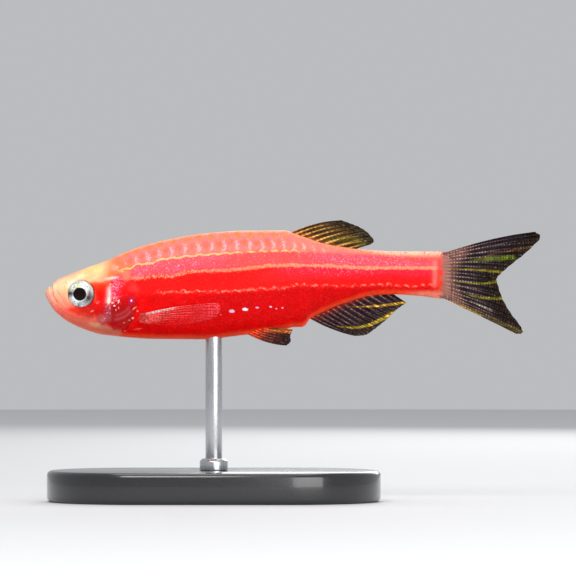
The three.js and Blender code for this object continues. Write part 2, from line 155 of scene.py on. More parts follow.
class Profile:
    """A smooth line through (position, value) pairs that never overshoots them."""

    def __init__(self, *pairs: tuple[float, float]) -> None:
        """Works out the line's slopes.

        Args:
            pairs: The points that it passes through, in order of position.
        """
        self.x, self.y = np.array(pairs, float).T
        rise = np.diff(self.y) / np.diff(self.x)
        product = rise[:-1] * rise[1:]
        total = np.where(product > 0, rise[:-1] + rise[1:], 1.0)
        inner = np.where(product > 0, 2 * product / total, 0.0)
        self.slope = np.concatenate([rise[:1], inner, rise[-1:]])

    def __call__(self, at: Rows) -> Rows:
        """The line's values at some positions."""
        place = np.clip(at, self.x[0], self.x[-1])
        i = np.clip(np.searchsorted(self.x, place, side="right") - 1, 0, len(self.x) - 2)
        step = self.x[i + 1] - self.x[i]
        t = (place - self.x[i]) / step
        start = self.y[i] * (1 + 2 * t) * (1 - t) ** 2 + step * self.slope[i] * t * (1 - t) ** 2
        end = self.y[i + 1] * t * t * (3 - 2 * t) - step * self.slope[i + 1] * t * t * (1 - t)
        return start + end


def spline(pairs: Pairs, share: Rows) -> Rows:
    """Points on an even smooth curve through some flat points.

    Args:
        pairs: The points, in percent.
        share: How far along the curve, 0 to 1.

    Returns:
        One row for each share.
    """
    knots = np.array(pairs, float)
    last = len(knots) - 1
    at = np.clip(share, 0, 1) * last
    i = np.minimum(at.astype(int), last - 1)
    t = (at - i)[:, None]
    before, start, end, after = (knots[np.clip(i + k, 0, last)] for k in (-1, 0, 1, 2))
    out = (end - before) / 2
    into = (after - start) / 2
    cubic = (2 * start - 2 * end + out + into) * t**3
    return cubic + (-3 * start + 3 * end - 2 * out - into) * t**2 + out * t + start


def path_distance(x: Rows, z: Rows, pairs: Pairs, steps: int = 16) -> tuple[Rows, Rows, Rows]:
    """How points lie beside a flat path.

    Args:
        x: The points' places along the fish.
        z: Their heights.
        pairs: Places that the path passes through.
        steps: How many points it is drawn with.

    Returns:
        The distance, positive on the path's left, the share of the way along it, and the plain distance.
    """
    path = spline(pairs, np.linspace(0, 1, steps))
    best = np.full(len(x), np.inf)
    side = np.ones(len(x))
    share = np.zeros(len(x))
    for i in range(len(path) - 1):
        start, step = path[i], path[i + 1] - path[i]
        t = ((x - start[0]) * step[0] + (z - start[1]) * step[1]) / (step @ step)
        near = np.clip(t, 0, 1)
        off_x = x - start[0] - near * step[0]
        off_z = z - start[1] - near * step[1]
        length = np.hypot(off_x, off_z)
        closer = length < best
        best = np.where(closer, length, best)
        side = np.where(closer, np.sign(step[0] * off_z - step[1] * off_x), side)
        share = np.where(closer, (i + near) / (len(path) - 1), share)
    return best * side, share, best


def pick(obj: Piece) -> None:
    """Leaves only this object selected and active."""
    bpy.ops.object.select_all(action="DESELECT")
    obj.select_set(True)
    bpy.context.view_layer.objects.active = obj


def points_of(obj: Piece) -> Rows:
    """The object's vertices, one row each."""
    flat = np.empty(len(obj.data.vertices) * 3)
    obj.data.vertices.foreach_get("co", flat)
    return flat.reshape(-1, 3)


def move_points(obj: Piece, rows: Rows) -> None:
    """Puts the object's vertices at new places."""
    obj.data.vertices.foreach_set("co", rows.ravel())
    obj.data.update()


def store(obj: Piece, name: str, values: Rows) -> None:
    """Keeps values on the vertices for a material to read.

    Args:
        obj: The piece.
        name: The attribute's name.
        values: One number, or one row of three, for each vertex.
    """
    if values.ndim == 1:
        layer = obj.data.attributes.new(name, "FLOAT", "POINT")
        layer.data.foreach_set("value", values.astype(np.float32))
        return
    layer = obj.data.attributes.new(name, "FLOAT_VECTOR", "POINT")
    layer.data.foreach_set("vector", values.astype(np.float32).ravel())


def apply_modifier(obj: Piece, kind: str, **settings: object) -> None:
    """Adds a modifier and applies it at once.

    Args:
        obj: The piece.
        kind: The modifier's type.
        settings: Its values.
    """
    modifier = obj.modifiers.new(kind.title(), kind)
    for name, value in settings.items():
        setattr(modifier, name, value)
    pick(obj)
    bpy.ops.object.modifier_apply(modifier=modifier.name)


def named(name: str) -> Piece:
    """The object just added, under its name."""
    bpy.context.object.name = name
    return bpy.context.object


def mesh_piece(name: str, points: list, edges: list, faces: list) -> Piece:
    """A piece made straight from a list of points and the edges or faces between them."""
    mesh = bpy.data.meshes.new(name)
    mesh.from_pydata(points, edges, faces)
    obj = bpy.data.objects.new(name, mesh)
    bpy.context.scene.collection.objects.link(obj)
    return obj


def face_outwards(obj: Piece) -> None:
    """Merges doubled vertices and turns every face outwards."""
    pick(obj)
    bpy.ops.object.mode_set(mode="EDIT")
    bpy.ops.mesh.select_all(action="SELECT")
    bpy.ops.mesh.remove_doubles(threshold=1e-7)
    bpy.ops.mesh.normals_make_consistent(inside=False)
    bpy.ops.object.mode_set(mode="OBJECT")


def soften(obj: Piece, angle: float = 50.0) -> None:
    """Shades smooth all edges flatter than an angle in degrees."""
    pick(obj)
    bpy.ops.object.shade_smooth_by_angle(angle=math.radians(angle))


def settle(obj: Piece) -> None:
    """Moves the object's place and turn into its mesh."""
    pick(obj)
    bpy.ops.object.transform_apply(location=True, rotation=True, scale=True)


def install(obj: Piece, finish: "Finish", slot: str, *nodes: str) -> None:
    """Dresses a finished piece and hands it to the frame.

    Args:
        obj: The piece.
        finish: Its finish.
        slot: The record's material slot; not used.
        nodes: The plain solids that it stands for.
    """
    obj.data.materials.clear()
    obj.data.materials.append(finish.material())
    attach(obj, ROOT_BODY)
    if nodes:
        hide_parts(*nodes)
    LOG.info("%s: %d faces", obj.name, len(obj.data.polygons))


class Wiring:
    """A material's nodes, wired by short calls that each give back an output socket."""

    def __init__(self, name: str) -> None:
        """Starts a material with one glossy shader."""
        self.material = bpy.data.materials.new(name)
        self.material.use_nodes = True
        self.tree = self.material.node_tree
        self.shader = self.tree.nodes["Principled BSDF"]
        self.place = self.add("ShaderNodeTexCoord").outputs["Object"]

    def add(self, kind: str, **settings: object) -> bpy.types.Node:
        """Adds a node and sets its properties."""
        node = self.tree.nodes.new(kind)
        for name, value in settings.items():
            setattr(node, name, value)
        return node

    def feed(self, socket: Socket, value: object) -> None:
        """Links an output to a socket, or sets the socket's own value."""
        if isinstance(value, Socket):
            self.tree.links.new(value, socket)
        elif isinstance(value, tuple) and socket.type == "RGBA":
            socket.default_value = (*value, 1.0)
        else:
            socket.default_value = value

    def set(self, **values: object) -> None:
        """Sets or feeds the shader's sockets, named with _ for a space."""
        for name, value in values.items():
            self.feed(self.shader.inputs[name.replace("_", " ")], value)

    def attribute(self, name: str, output: str = "Fac") -> Socket:
        """Reads a value kept on the vertices."""
        return self.add("ShaderNodeAttribute", attribute_name=name).outputs[output]

    def parts(self, name: str) -> tuple[Socket, Socket, Socket]:
        """Reads three numbers kept on the vertices."""
        node = self.add("ShaderNodeSeparateXYZ")
        self.feed(node.inputs[0], self.attribute(name, "Vector"))
        return node.outputs[0], node.outputs[1], node.outputs[2]

    def maths(self, operation: str, first: Value, second: Value = 0.0, third: Value = 0.0) -> Socket:
        """One sum of up to three values."""
        node = self.add("ShaderNodeMath", operation=operation)
        for socket, value in zip(node.inputs, (first, second, third)):
            self.feed(socket, value)
        return node.outputs[0]

    def times(self, first: Value, second: Value) -> Socket:
        """One value times another."""
        return self.maths("MULTIPLY", first, second)

    def vector(self, *parts: Value) -> Socket:
        """A vector of up to three values."""
        node = self.add("ShaderNodeCombineXYZ")
        for socket, value in zip(node.inputs, parts):
            self.feed(socket, value)
        return node.outputs[0]

    def length_of(self, vector: Socket) -> Socket:
        """The length of a vector."""
        node = self.add("ShaderNodeVectorMath", operation="LENGTH")
        self.feed(node.inputs[0], vector)
        return node.outputs["Value"]

    def between(self, value: Value, low: float, high: float, start: float = 0.0, end: float = 1.0) -> Socket:
        """A soft step from start, at low, to end, at high."""
        node = self.add("ShaderNodeMapRange", interpolation_type="SMOOTHSTEP")
        for name, given in (("From Min", low), ("From Max", high), ("To Min", start), ("To Max", end)):
            self.feed(node.inputs[name], given)
        self.feed(node.inputs["Value"], value)
        return node.outputs[0]

    def noise(self, grain_mm: float, detail: float = 2.0, stretch: Triple = (1.0, 1.0, 1.0)) -> Socket:
        """A soft random pattern with grains of a given size, drawn out by stretch."""
        mapping = self.add("ShaderNodeMapping")
        self.feed(mapping.inputs["Vector"], self.place)
        mapping.inputs["Scale"].default_value = [1 / s for s in stretch]
        node = self.add("ShaderNodeTexNoise")
        self.feed(node.inputs["Vector"], mapping.outputs[0])
        node.inputs["Scale"].default_value = 1 / (grain_mm * MM)
        node.inputs["Detail"].default_value = detail
        return node.outputs[0]

    def sway(self, grain_mm: float, detail: float = 2.0) -> Socket:
        """A soft random pattern about 0."""
        return self.maths("SUBTRACT", self.noise(grain_mm, detail), 0.5)

    def grey(self, value: Value) -> Socket:
        """A grey of a given brightness."""
        return self.vector(value, value, value)

    def shaded(self, colour: object, brightness: Value) -> Socket:
        """A colour at a share of its brightness."""
        return self.colour_mix(1.0, colour, self.grey(brightness), "MULTIPLY")

    def colour_mix(self, amount: Value, under: object, over: object, way: str = "MIX") -> Socket:
        """One colour laid over another."""
        node = self.add("ShaderNodeMix", data_type="RGBA", blend_type=way)
        colours = [s for s in node.inputs if s.type == "RGBA"]
        self.feed(node.inputs[0], amount)
        self.feed(colours[0], under)
        self.feed(colours[1], over)
        return [s for s in node.outputs if s.type == "RGBA"][0]

    def bump(self, height: Socket, depth_mm: float, under: Socket | None = None) -> Socket:
        """Raises a fine relief, on top of another one if given."""
        node = self.add("ShaderNodeBump")
        node.inputs["Distance"].default_value = depth_mm * MM
        self.feed(node.inputs["Height"], height)
        if under is not None:
            self.feed(node.inputs["Normal"], under)
        return node.outputs[0]


@dataclass(frozen=True)
class Fleck:
    """A small fleck on the skin. Its place is in percent, its halves in millimetres, its turn in degrees."""

    x: float
    z: float
    half_long_mm: float
    half_high_mm: float
    turn: float
    colour: Colour
    strength: float = 0.95

    def draw(self, wiring: Wiring, under: Socket, ragged: Socket) -> Socket:
        """Lays the fleck over a colour."""
        mapping = wiring.add("ShaderNodeMapping", vector_type="TEXTURE")
        wiring.feed(mapping.inputs["Vector"], wiring.place)
        mapping.inputs["Location"].default_value = frame_point(self.x, self.z)
        mapping.inputs["Rotation"].default_value = (0.0, -math.radians(self.turn), 0.0)
        mapping.inputs["Scale"].default_value = (self.half_long_mm * MM, 1.0, self.half_high_mm * MM)
        away = wiring.maths("ADD", wiring.length_of(mapping.outputs[0]), ragged)
        shown = wiring.between(away, 0.7, 1.2, self.strength, 0.0)
        return wiring.colour_mix(shown, under, self.colour)


@dataclass(frozen=True)
class NetMark:
    """A marking that comes back in every column of scales. Places and sizes are in columns and rows."""

    column: float
    row: float
    half_long: float
    half_high: float
    colour: Colour
    lean: float = 0.0
    bow: float = 0.0
    strength: float = 0.9
    pale: bool = False


NET_MARKS = (
    NetMark(0.0, 0.0, 0.32, 0.5, (1.0, 0.2, 0.012), lean=0.45),
    NetMark(0.5, 1.05, 0.27, 0.44, (1.0, 0.14, 0.05), lean=0.2, strength=0.75),
    NetMark(0.0, 1.4, 0.17, 0.66, (1.0, 0.42, 0.4), bow=0.35, strength=0.8, pale=True),
)
FLECKS = tuple(Fleck(*row) for row in (
    (47.1, -7.7, 0.25, 0.165, 0, (0.78, 0.5, 0.72)),
    (50.5, -7.3, 0.26, 0.15, 0, (1.0, 0.86, 0.94)),
    (53.5, -6.8, 0.15, 0.095, 0, (0.7, 0.36, 0.66)),
    (56.9, -6.6, 0.12, 0.085, 0, (0.8, 0.5, 0.72)),
    (58.3, -7.1, 0.08, 0.06, 0, (0.8, 0.4, 0.6)),
    (59.8, -6.9, 0.09, 0.065, 0, (0.8, 0.4, 0.6)),
    (43.3, -6.7, 0.06, 0.05, 0, (0.8, 0.3, 0.5), 0.7),
    (44.3, -8.6, 0.06, 0.05, 0, (0.8, 0.3, 0.5), 0.7),
    # The next eight flecks are painted glints, cream and pale pink, along the gill cover's ridge.
    (16.65, -0.9, 0.1, 0.05, 20, (1.0, 0.7, 0.46), 0.8),
    (17.3, -1.46, 0.08, 0.05, 20, (1.0, 0.6, 0.5), 0.8),
    (16.45, -3.2, 0.1, 0.35, 0, (1.0, 0.66, 0.62), 0.8),
    (16.25, -5.0, 0.15, 0.34, -8, (1.0, 0.84, 0.66), 0.9),
    (17.5, -4.4, 0.1, 0.07, 0, (1.0, 0.56, 0.56)),
    (18.7, -5.25, 0.07, 0.22, -15, (1.0, 0.7, 0.58), 0.8),
    (17.15, -5.6, 0.12, 0.1, 0, (1.0, 0.5, 0.46), 0.8),
    (17.6, -6.35, 0.1, 0.08, 0, (1.0, 0.66, 0.7)),
    (18.0, -7.4, 0.05, 0.12, 0, (0.9, 0.3, 0.34)),
    (18.7, -6.9, 0.05, 0.12, 0, (0.9, 0.3, 0.34)),
    (21.9, -5.1, 0.09, 0.12, 0, (0.86, 0.6, 0.95), 0.85),
    (22.5, -7.06, 0.05, 0.2, -40, (1.0, 0.44, 0.24), 0.7),
    (23.0, -6.76, 0.04, 0.14, -40, (1.0, 0.4, 0.22), 0.6),
    (23.45, -7.7, 0.1, 0.07, 0, (1.0, 0.34, 0.34), 0.7),
    (22.2, -9.45, 0.12, 0.1, 30, (1.0, 0.5, 0.46), 0.85),
    (21.35, -9.95, 0.09, 0.06, 0, (1.0, 0.36, 0.26), 0.7),
    (20.0, -10.6, 0.09, 0.07, 0, (1.0, 0.22, 0.08), 0.6),
    (20.2, -12.7, 0.1, 0.07, 0, (1.0, 0.26, 0.16), 0.5),
    (23.4, -12.2, 0.45, 0.07, 8, (0.9, 0.14, 0.08), 0.5),
    (13.3, -5.7, 0.13, 0.07, 25, (1.0, 0.22, 0.18), 0.6),
    (12.0, -7.7, 0.2, 0.06, 25, (1.0, 0.34, 0.3), 0.6),
    (10.2, 1.9, 0.22, 0.08, 25, (1.0, 0.56, 0.05), 0.7),
    (13.0, 3.0, 0.1, 0.08, 0, (1.0, 0.6, 0.08), 0.7),
    (18.3, 3.3, 0.16, 0.07, 25, (1.0, 0.56, 0.46), 0.7),
    (19.6, 2.2, 0.13, 0.07, 20, (1.0, 0.5, 0.4), 0.6),
))


@dataclass(frozen=True)
class Finish:
    """A surface finish. Each kind below fills in how its material is wired."""

    name: str

    def material(self) -> bpy.types.Material:
        """The finish as a material, made once and shared by its pieces."""
        found = bpy.data.materials.get(self.name)
        if found:
            return found
        wiring = Wiring(self.name)
        self.wire(wiring)
        return wiring.material

    def wire(self, wiring: Wiring) -> None:
        """Wires the nodes of this finish."""
        raise NotImplementedError


@dataclass(frozen=True)
class SkinFinish(Finish):
    """Wet fish skin: painted ground, pale lines, painted glints off the guanine, and a marking on each scale.
    """

    line_colours: tuple[Colour, Colour, Colour] = ((1.0, 0.58, 0.2), (1.0, 0.36, 0.17), (1.0, 0.25, 0.17))
    line_halves_mm: Triple = (0.085, 0.15, 0.105)
    # Colours of the painted glints: light glancing off the guanine, laid into the colour as specks.
    glint: Colour = (1.0, 0.15, 0.25)
    spark: Colour = (1.0, 0.62, 0.6)
    blush: Colour = (1.0, 0.26, 0.28)
    roughness: float = 0.36

    def wire(self, wiring: Wiring) -> None:
        """Lays the markings over the ground colour, from broad to fine."""
        ground = wiring.attribute("paint", "Color")
        cloud = wiring.between(wiring.noise(0.9, 4.0), 0.3, 0.7, 0.9, 1.05)
        grain = wiring.between(wiring.noise(0.1, 2.0), 0.3, 0.7, 0.9, 1.1)
        colour = wiring.shaded(ground, wiring.times(cloud, grain))
        orange, fleck, glint = wiring.parts("marks")
        rosy = wiring.between(wiring.noise(0.13, 3.0), 0.48, 0.7, 0.0, 0.05)
        colour = wiring.colour_mix(rosy, colour, self.blush)
        colour = self._scale_marks(wiring, colour, orange, fleck)
        # Painted glints: pink and pale specks for light glancing off the guanine.
        colour = self._specks(wiring, colour, glint, 0.17, 0.5, self.glint)
        colour = self._specks(wiring, colour, glint, 0.12, 0.63, self.spark)
        lines = zip(self.line_colours, self.line_halves_mm)
        for number, (tint, half) in enumerate(lines, start=1):
            colour = self._line(wiring, colour, f"line_{number}", tint, half)
        ragged = wiring.times(wiring.sway(0.2, 3.0), 1.1)
        for mark in FLECKS:
            colour = mark.draw(wiring, colour, ragged)
        fine = wiring.bump(wiring.noise(0.07, 2.0), 0.005)
        relief = wiring.bump(wiring.noise(0.4), 0.012, fine)
        wiring.set(Base_Color=colour, Roughness=self.roughness, Normal=relief)
        wiring.set(Specular_IOR_Level=0.03, Coat_Weight=0.09, Coat_Roughness=0.09, Coat_IOR=1.35)
        wiring.set(Subsurface_Weight=0.08, Subsurface_Scale=0.0004)

    def _scale_marks(self, wiring: Wiring, under: Socket, orange: Socket, fleck: Socket) -> Socket:
        """Orange spots in two rows and pale flecks under them, set out by the scales' own net."""
        column, row, _ = wiring.parts("net")
        sway = wiring.sway(1.3)
        ragged = wiring.times(wiring.sway(0.22, 3.0), 2.0)
        column = wiring.maths("MULTIPLY_ADD", sway, 0.35, column)
        row = wiring.maths("MULTIPLY_ADD", sway, 0.5, row)
        colour = under
        for mark in NET_MARKS:
            shifted = wiring.maths("SUBTRACT", column, mark.column)
            along = wiring.maths("SUBTRACT", shifted, wiring.maths("ROUND", shifted))
            down = wiring.maths("SUBTRACT", row, mark.row)
            bent = wiring.maths("MULTIPLY_ADD", wiring.times(down, down), mark.bow, along)
            tilted = wiring.maths("MULTIPLY_ADD", along, -mark.lean, down)
            long = wiring.maths("DIVIDE", bent, mark.half_long)
            away = wiring.length_of(wiring.vector(long, wiring.maths("DIVIDE", tilted, mark.half_high)))
            shown = wiring.between(wiring.maths("ADD", away, ragged), 0.5, 1.2, mark.strength, 0.0)
            amount = fleck if mark.pale else orange
            colour = wiring.colour_mix(wiring.times(amount, shown), colour, mark.colour)
        return colour

    @staticmethod
    def _specks(
        wiring: Wiring, under: Socket, amount: Socket, grain_mm: float, spare: float, tint: Colour
    ) -> Socket:
        """Scattered specks of painted glint, more of them where the amount is high."""
        lifted = wiring.maths("MULTIPLY_ADD", amount, 0.22, wiring.noise(grain_mm, 2.0))
        found = wiring.between(lifted, spare + 0.12, spare + 0.22)
        shown = wiring.times(found, wiring.between(amount, 0.02, 0.4))
        return wiring.colour_mix(shown, under, tint)

    @staticmethod
    def _line(wiring: Wiring, under: Socket, name: str, tint: Colour, half: float) -> Socket:
        """One pale line. Where it is broken it wanders, frays and has gaps."""
        distance, strength, broken = wiring.parts(name)
        wander = wiring.sway(0.45, 3.0)
        sway = wiring.maths("MULTIPLY_ADD", broken, 0.55, 0.18)
        off = wiring.maths("MULTIPLY_ADD", wander, sway, distance)
        on_line = wiring.between(wiring.maths("ABSOLUTE", off), half * 0.5, half * 1.5, 1.0, 0.0)
        frayed = wiring.between(wiring.noise(0.17, 3.0), 0.42, 0.56)
        whole = wiring.maths("SUBTRACT", 1.0, broken)
        kept = wiring.maths("MAXIMUM", frayed, whole)
        shown = wiring.times(wiring.times(on_line, strength), kept)
        return wiring.colour_mix(shown, under, tint)


@dataclass(frozen=True)
class FinFinish(Finish):
    """Thin fin film with jointed rays and painted glints on them, as dense as its alpha."""

    film_alpha: float = 0.9
    ray_alpha: float = 1.0
    joint_mm: float = 0.27
    joint_dark: float = 0.25
    # The colour and share of the painted glints on the rays.
    sparkle: Colour = (0.6, 0.58, 0.56)
    sparkle_share: float = 0.0

    def wire(self, wiring: Wiring) -> None:
        """Shades the painted film, and joints its rays."""
        ground = wiring.attribute("paint", "Color")
        ray, along, dense = wiring.parts("web")
        wave = wiring.maths("SINE", wiring.times(along, 2 * math.pi / self.joint_mm))
        joint = wiring.between(wave, -0.6, 0.5, self.joint_dark, 1.3)
        # Painted light on the rays: brighter and dimmer stretches at random, which read as glinting dots.
        lit = wiring.between(wiring.noise(0.3, 4.0), 0.34, 0.66, 0.45, 1.7)
        on_ray = wiring.shaded(ground, wiring.times(joint, lit))
        film = wiring.between(wiring.noise(0.25, 3.0), 0.3, 0.7, 0.55, 1.25)
        off_ray = wiring.shaded(ground, film)
        colour = wiring.colour_mix(ray, off_ray, on_ray)
        # Painted glints: pale specks on the rays.
        found = wiring.between(wiring.noise(0.15, 2.0), 0.6, 0.7, 0.0, self.sparkle_share)
        colour = wiring.colour_mix(wiring.times(found, ray), colour, self.sparkle)
        wiring.set(Base_Color=colour)
        wiring.set(Roughness=0.42, Specular_IOR_Level=0.02, Coat_Weight=0.02, Coat_Roughness=0.16)
        alpha = wiring.between(ray, 0.05, 0.7, self.film_alpha, self.ray_alpha)
        wiring.set(Alpha=wiring.maths("MINIMUM", wiring.times(alpha, dense), 1.0))
        height = wiring.times(wave, ray)
        wiring.set(Normal=wiring.bump(height, 0.014, wiring.bump(wiring.noise(0.1), 0.008)))


@dataclass(frozen=True)
class EyeFinish(Finish):
    """A wet eye, with its iris and pupil painted on the ball."""

    def wire(self, wiring: Wiring) -> None:
        """Silver iris under a clear film, black pupil."""
        ground = wiring.attribute("paint", "Color")
        silver = wiring.attribute("silver")
        streak = wiring.between(wiring.noise(0.12, 4.0), 0.34, 0.6, 0.6, 1.18)
        blot = wiring.between(wiring.noise(0.34, 3.0), 0.36, 0.56, 0.8, 1.08)
        shade = wiring.grey(wiring.times(streak, blot))
        shade = wiring.colour_mix(silver, (1.0, 1.0, 1.0), shade)
        wiring.set(Base_Color=wiring.colour_mix(1.0, ground, shade, "MULTIPLY"))
        wiring.set(Metallic=wiring.times(silver, 0.15), Roughness=0.28, Specular_IOR_Level=0.08)
        wiring.set(Coat_Weight=0.22, Coat_Roughness=0.02, Coat_IOR=1.34)
        wiring.set(Normal=wiring.bump(wiring.times(wiring.noise(0.1, 3.0), silver), 0.012))


@dataclass(frozen=True)
class PlainFinish(Finish):
    """A hard made surface with a fine grain along one direction."""

    colour: Colour = (0.02, 0.02, 0.022)
    metal: float = 0.0
    roughness: float = 0.3
    coat: float = 0.0
    grain_mm: float = 0.2
    contrast: float = 0.12
    stretch: Triple = (1.0, 1.0, 1.0)
    depth_mm: float = 0.004

    def wire(self, wiring: Wiring) -> None:
        """Breaks up the gloss with the grain."""
        grain = wiring.noise(self.grain_mm, 4.0, self.stretch)
        tint = wiring.between(grain, 0.2, 0.8, 1 - self.contrast, 1 + self.contrast)
        wiring.set(Base_Color=wiring.shaded(self.colour, tint))
        wiring.set(Roughness=wiring.between(grain, 0.2, 0.8, self.roughness * 0.8, self.roughness * 1.3))
        wiring.set(Metallic=self.metal, Coat_Weight=self.coat, Coat_Roughness=0.06)
        wiring.set(Normal=wiring.bump(grain, self.depth_mm))


@dataclass
class Body:
    """The body's plain form, as cross-sections along the fish."""

    back: Profile = Profile(
        (0, -3.28), (0.2, -2.5), (0.8, -1.8), (1.5, -1.55), (2, -0.8), (3, 0.2), (5.6, 1.3), (10.2, 3.15),
        (15.3, 4.95), (21.8, 7.8), (29.9, 10.1), (40, 11.85), (50, 12.55), (60, HIGHEST_BACK), (64.7, 11.2),
        (70.8, 9.25), (80.3, 7.8), (90, 7.3), (100, 7.3), (102.6, 7.0),
    )
    belly: Profile = Profile(
        (0, -3.28), (0.2, -4.0), (0.8, -5.3), (2.7, -8.0), (6.2, -10.65), (11.7, -12.95), (14.5, -13.65),
        (27.9, -14.75), (40, -14.85), (48, -14.0), (60, -12.4), (63, -11.75), (64.4, -11.75), (65.6, -11.3),
        (66.3, -10.1), (68, -8.95),
        (75.8, -5.7), (82.6, -3.85), (87, -3.5), (94.5, -3.9), (100, -4.55), (102.6, -4.4),
    )
    half_breadth: Profile = Profile(
        (0, 0.55), (0.2, 1.1), (0.8, 1.95), (3, 3.3), (6, 4.4), (10, 5.3), (15, 6.1), (20, 6.7), (28, 7.25),
        (40, 7.4), (50, 7.0), (60, 6.05), (70, 4.75), (80, 3.6), (90, 2.7), (96, 2.0), (100, 1.45),
        (102.6, 0.5),
    )
    widest_share: Profile = Profile((0, 0.5), (8, 0.46), (20, 0.5), (40, 0.54), (70, 0.52), (102.6, 0.5))
    back_power: Profile = Profile((0, 2), (8, 2.25), (22, 2.1), (60, 2), (102.6, 2.1))
    belly_power: Profile = Profile((0, 2), (10, 1.9), (30, 2.15), (55, 2.0), (70, 1.8), (102.6, 2.1))
    end: float = 102.6
    stations: int = 640
    marks: int = 129

    def __post_init__(self) -> None:
        """Tables the sections by their arc length."""
        self.table_x = np.linspace(0, self.end, self.stations)
        turn = np.linspace(-np.pi / 2, np.pi / 2, 721)
        share = np.linspace(0, 1, self.marks)
        self.table = np.empty((self.stations, self.marks, 2))
        self.girth = np.empty(self.stations)
        self.middle = np.empty(self.stations)
        for i, x in enumerate(self.table_x):
            top, bottom = self.back(x), self.belly(x)
            widest = bottom + (top - bottom) * self.widest_share(x)
            up = np.sin(turn) > 0
            power = np.where(up, self.back_power(x), self.belly_power(x))
            height = np.where(up, top - widest, widest - bottom)
            y = self.half_breadth(x) * np.abs(np.cos(turn)) ** (2 / power)
            z = widest + height * np.sign(np.sin(turn)) * np.abs(np.sin(turn)) ** (2 / power)
            way = np.concatenate([[0], np.cumsum(np.hypot(np.diff(y), np.diff(z)))])
            self.girth[i] = way[-1]
            self.middle[i] = way[len(turn) // 2] / way[-1]
            self.table[i, :, 0] = np.interp(share * way[-1], way, y)
            self.table[i, :, 1] = np.interp(share * way[-1], way, z)

    def at(self, x: Rows, share: Rows, side: Rows) -> Rows:
        """Points of the plain form.

        Args:
            x: Places along the fish, in percent.
            share: How far up round the section, 0 at the belly and 1 at the back.
            side: -1 on the left and 1 on the right.

        Returns:
            Rows of x, y and z, in percent.
        """
        across = np.clip(x, 0, self.end) / self.end * (self.stations - 1)
        around = np.clip(share, 0, 1) * (self.marks - 1)
        i = np.minimum(across.astype(int), self.stations - 2)
        j = np.minimum(around.astype(int), self.marks - 2)
        u, v = (across - i)[:, None], (around - j)[:, None]
        near = self.table[i, j] * (1 - v) + self.table[i, j + 1] * v
        far = self.table[i + 1, j] * (1 - v) + self.table[i + 1, j + 1] * v
        both = near * (1 - u) + far * u
        return np.column_stack([x, side * both[:, 0], both[:, 1]])

    def normals(self, x: Rows, share: Rows, side: Rows) -> Rows:
        """Outward directions of the plain form at the same places as at()."""
        low_x, high_x = np.clip(x - 0.4, 0.02, None), np.clip(x + 0.4, None, self.end)
        low_s, high_s = np.clip(share - 0.02, 0, 1), np.clip(share + 0.02, 0, 1)
        along = self.at(high_x, share, side) - self.at(low_x, share, side)
        around = self.at(x, high_s, side) - self.at(x, low_s, side)
        cross = np.cross(along, around) * side[:, None] * -1
        length = np.linalg.norm(cross, axis=1, keepdims=True)
        return cross / np.maximum(length, 1e-12)

    def half_at(self, x: float, z: float) -> float:
        """Half the body's breadth at one place, in percent."""
        share = np.linspace(0, 1, 400)
        rows = self.at(np.full(400, x), share, np.ones(400))
        return float(np.interp(z, rows[:, 2], rows[:, 1]))


class Ramp:
    """A run of colours through (position, colour) pairs."""

    def __init__(self, *pairs: tuple[float, Colour]) -> None:
        """Keeps the colours in order of position."""
        self.place = np.array([place for place, _ in pairs])
        self.colour = np.array([colour for _, colour in pairs])

    def __call__(self, at: Rows) -> Rows:
        """The colours at some positions, one row each."""
        return np.column_stack([np.interp(at, self.place, part) for part in self.colour.T])


@dataclass(frozen=True)
class Patch:
    """A soft patch of colour on the head or the shoulder. Places and sizes are in percent."""

    x: float
    z: float
    half_length: float
    half_height: float
    turn: float
    colour: Colour
    strength: float

    def lay(self, colour: Rows, x: Rows, z: Rows) -> Rows:
        """Lays the patch over the colours of some places."""
        turn = math.radians(self.turn)
        along = (x - self.x) * math.cos(turn) + (z - self.z) * math.sin(turn)
        across = (z - self.z) * math.cos(turn) - (x - self.x) * math.sin(turn)
        away = np.hypot(along / self.half_length, across / self.half_height)
        return blend(colour, self.colour, self.strength * (1 - smooth(0.35, 1.35, away)))


@dataclass(frozen=True)
class PaleLine:
    """One pale line along the flank."""

    path: Profile
    strength: Profile
    broken: Profile
    dashes: Profile
    zigzag: float = 0.0

    def read(self, x: Rows, z: Rows, column: Rows) -> Rows:
        """What the skin's finish needs to draw the line.

        Args:
            x: Places along the fish, in percent.
            z: Their heights.
            column: Which scale column they are in, counted along the fish.

        Returns:
            Rows of the distance from the line in millimetres, its strength, and how broken it is.
        """
        phase = column % 1
        saw = np.abs(phase - 0.5) * 4 - 1
        distance = (z - self.path(x) - self.zigzag * saw) * PERCENT / MM
        wave = 0.5 + 0.5 * np.cos(2 * np.pi * phase)
        gaps = 1 - self.dashes(x) * (1 - smooth(0.25, 0.55, wave))
        return np.column_stack([distance, self.strength(x) * gaps, self.broken(x)])


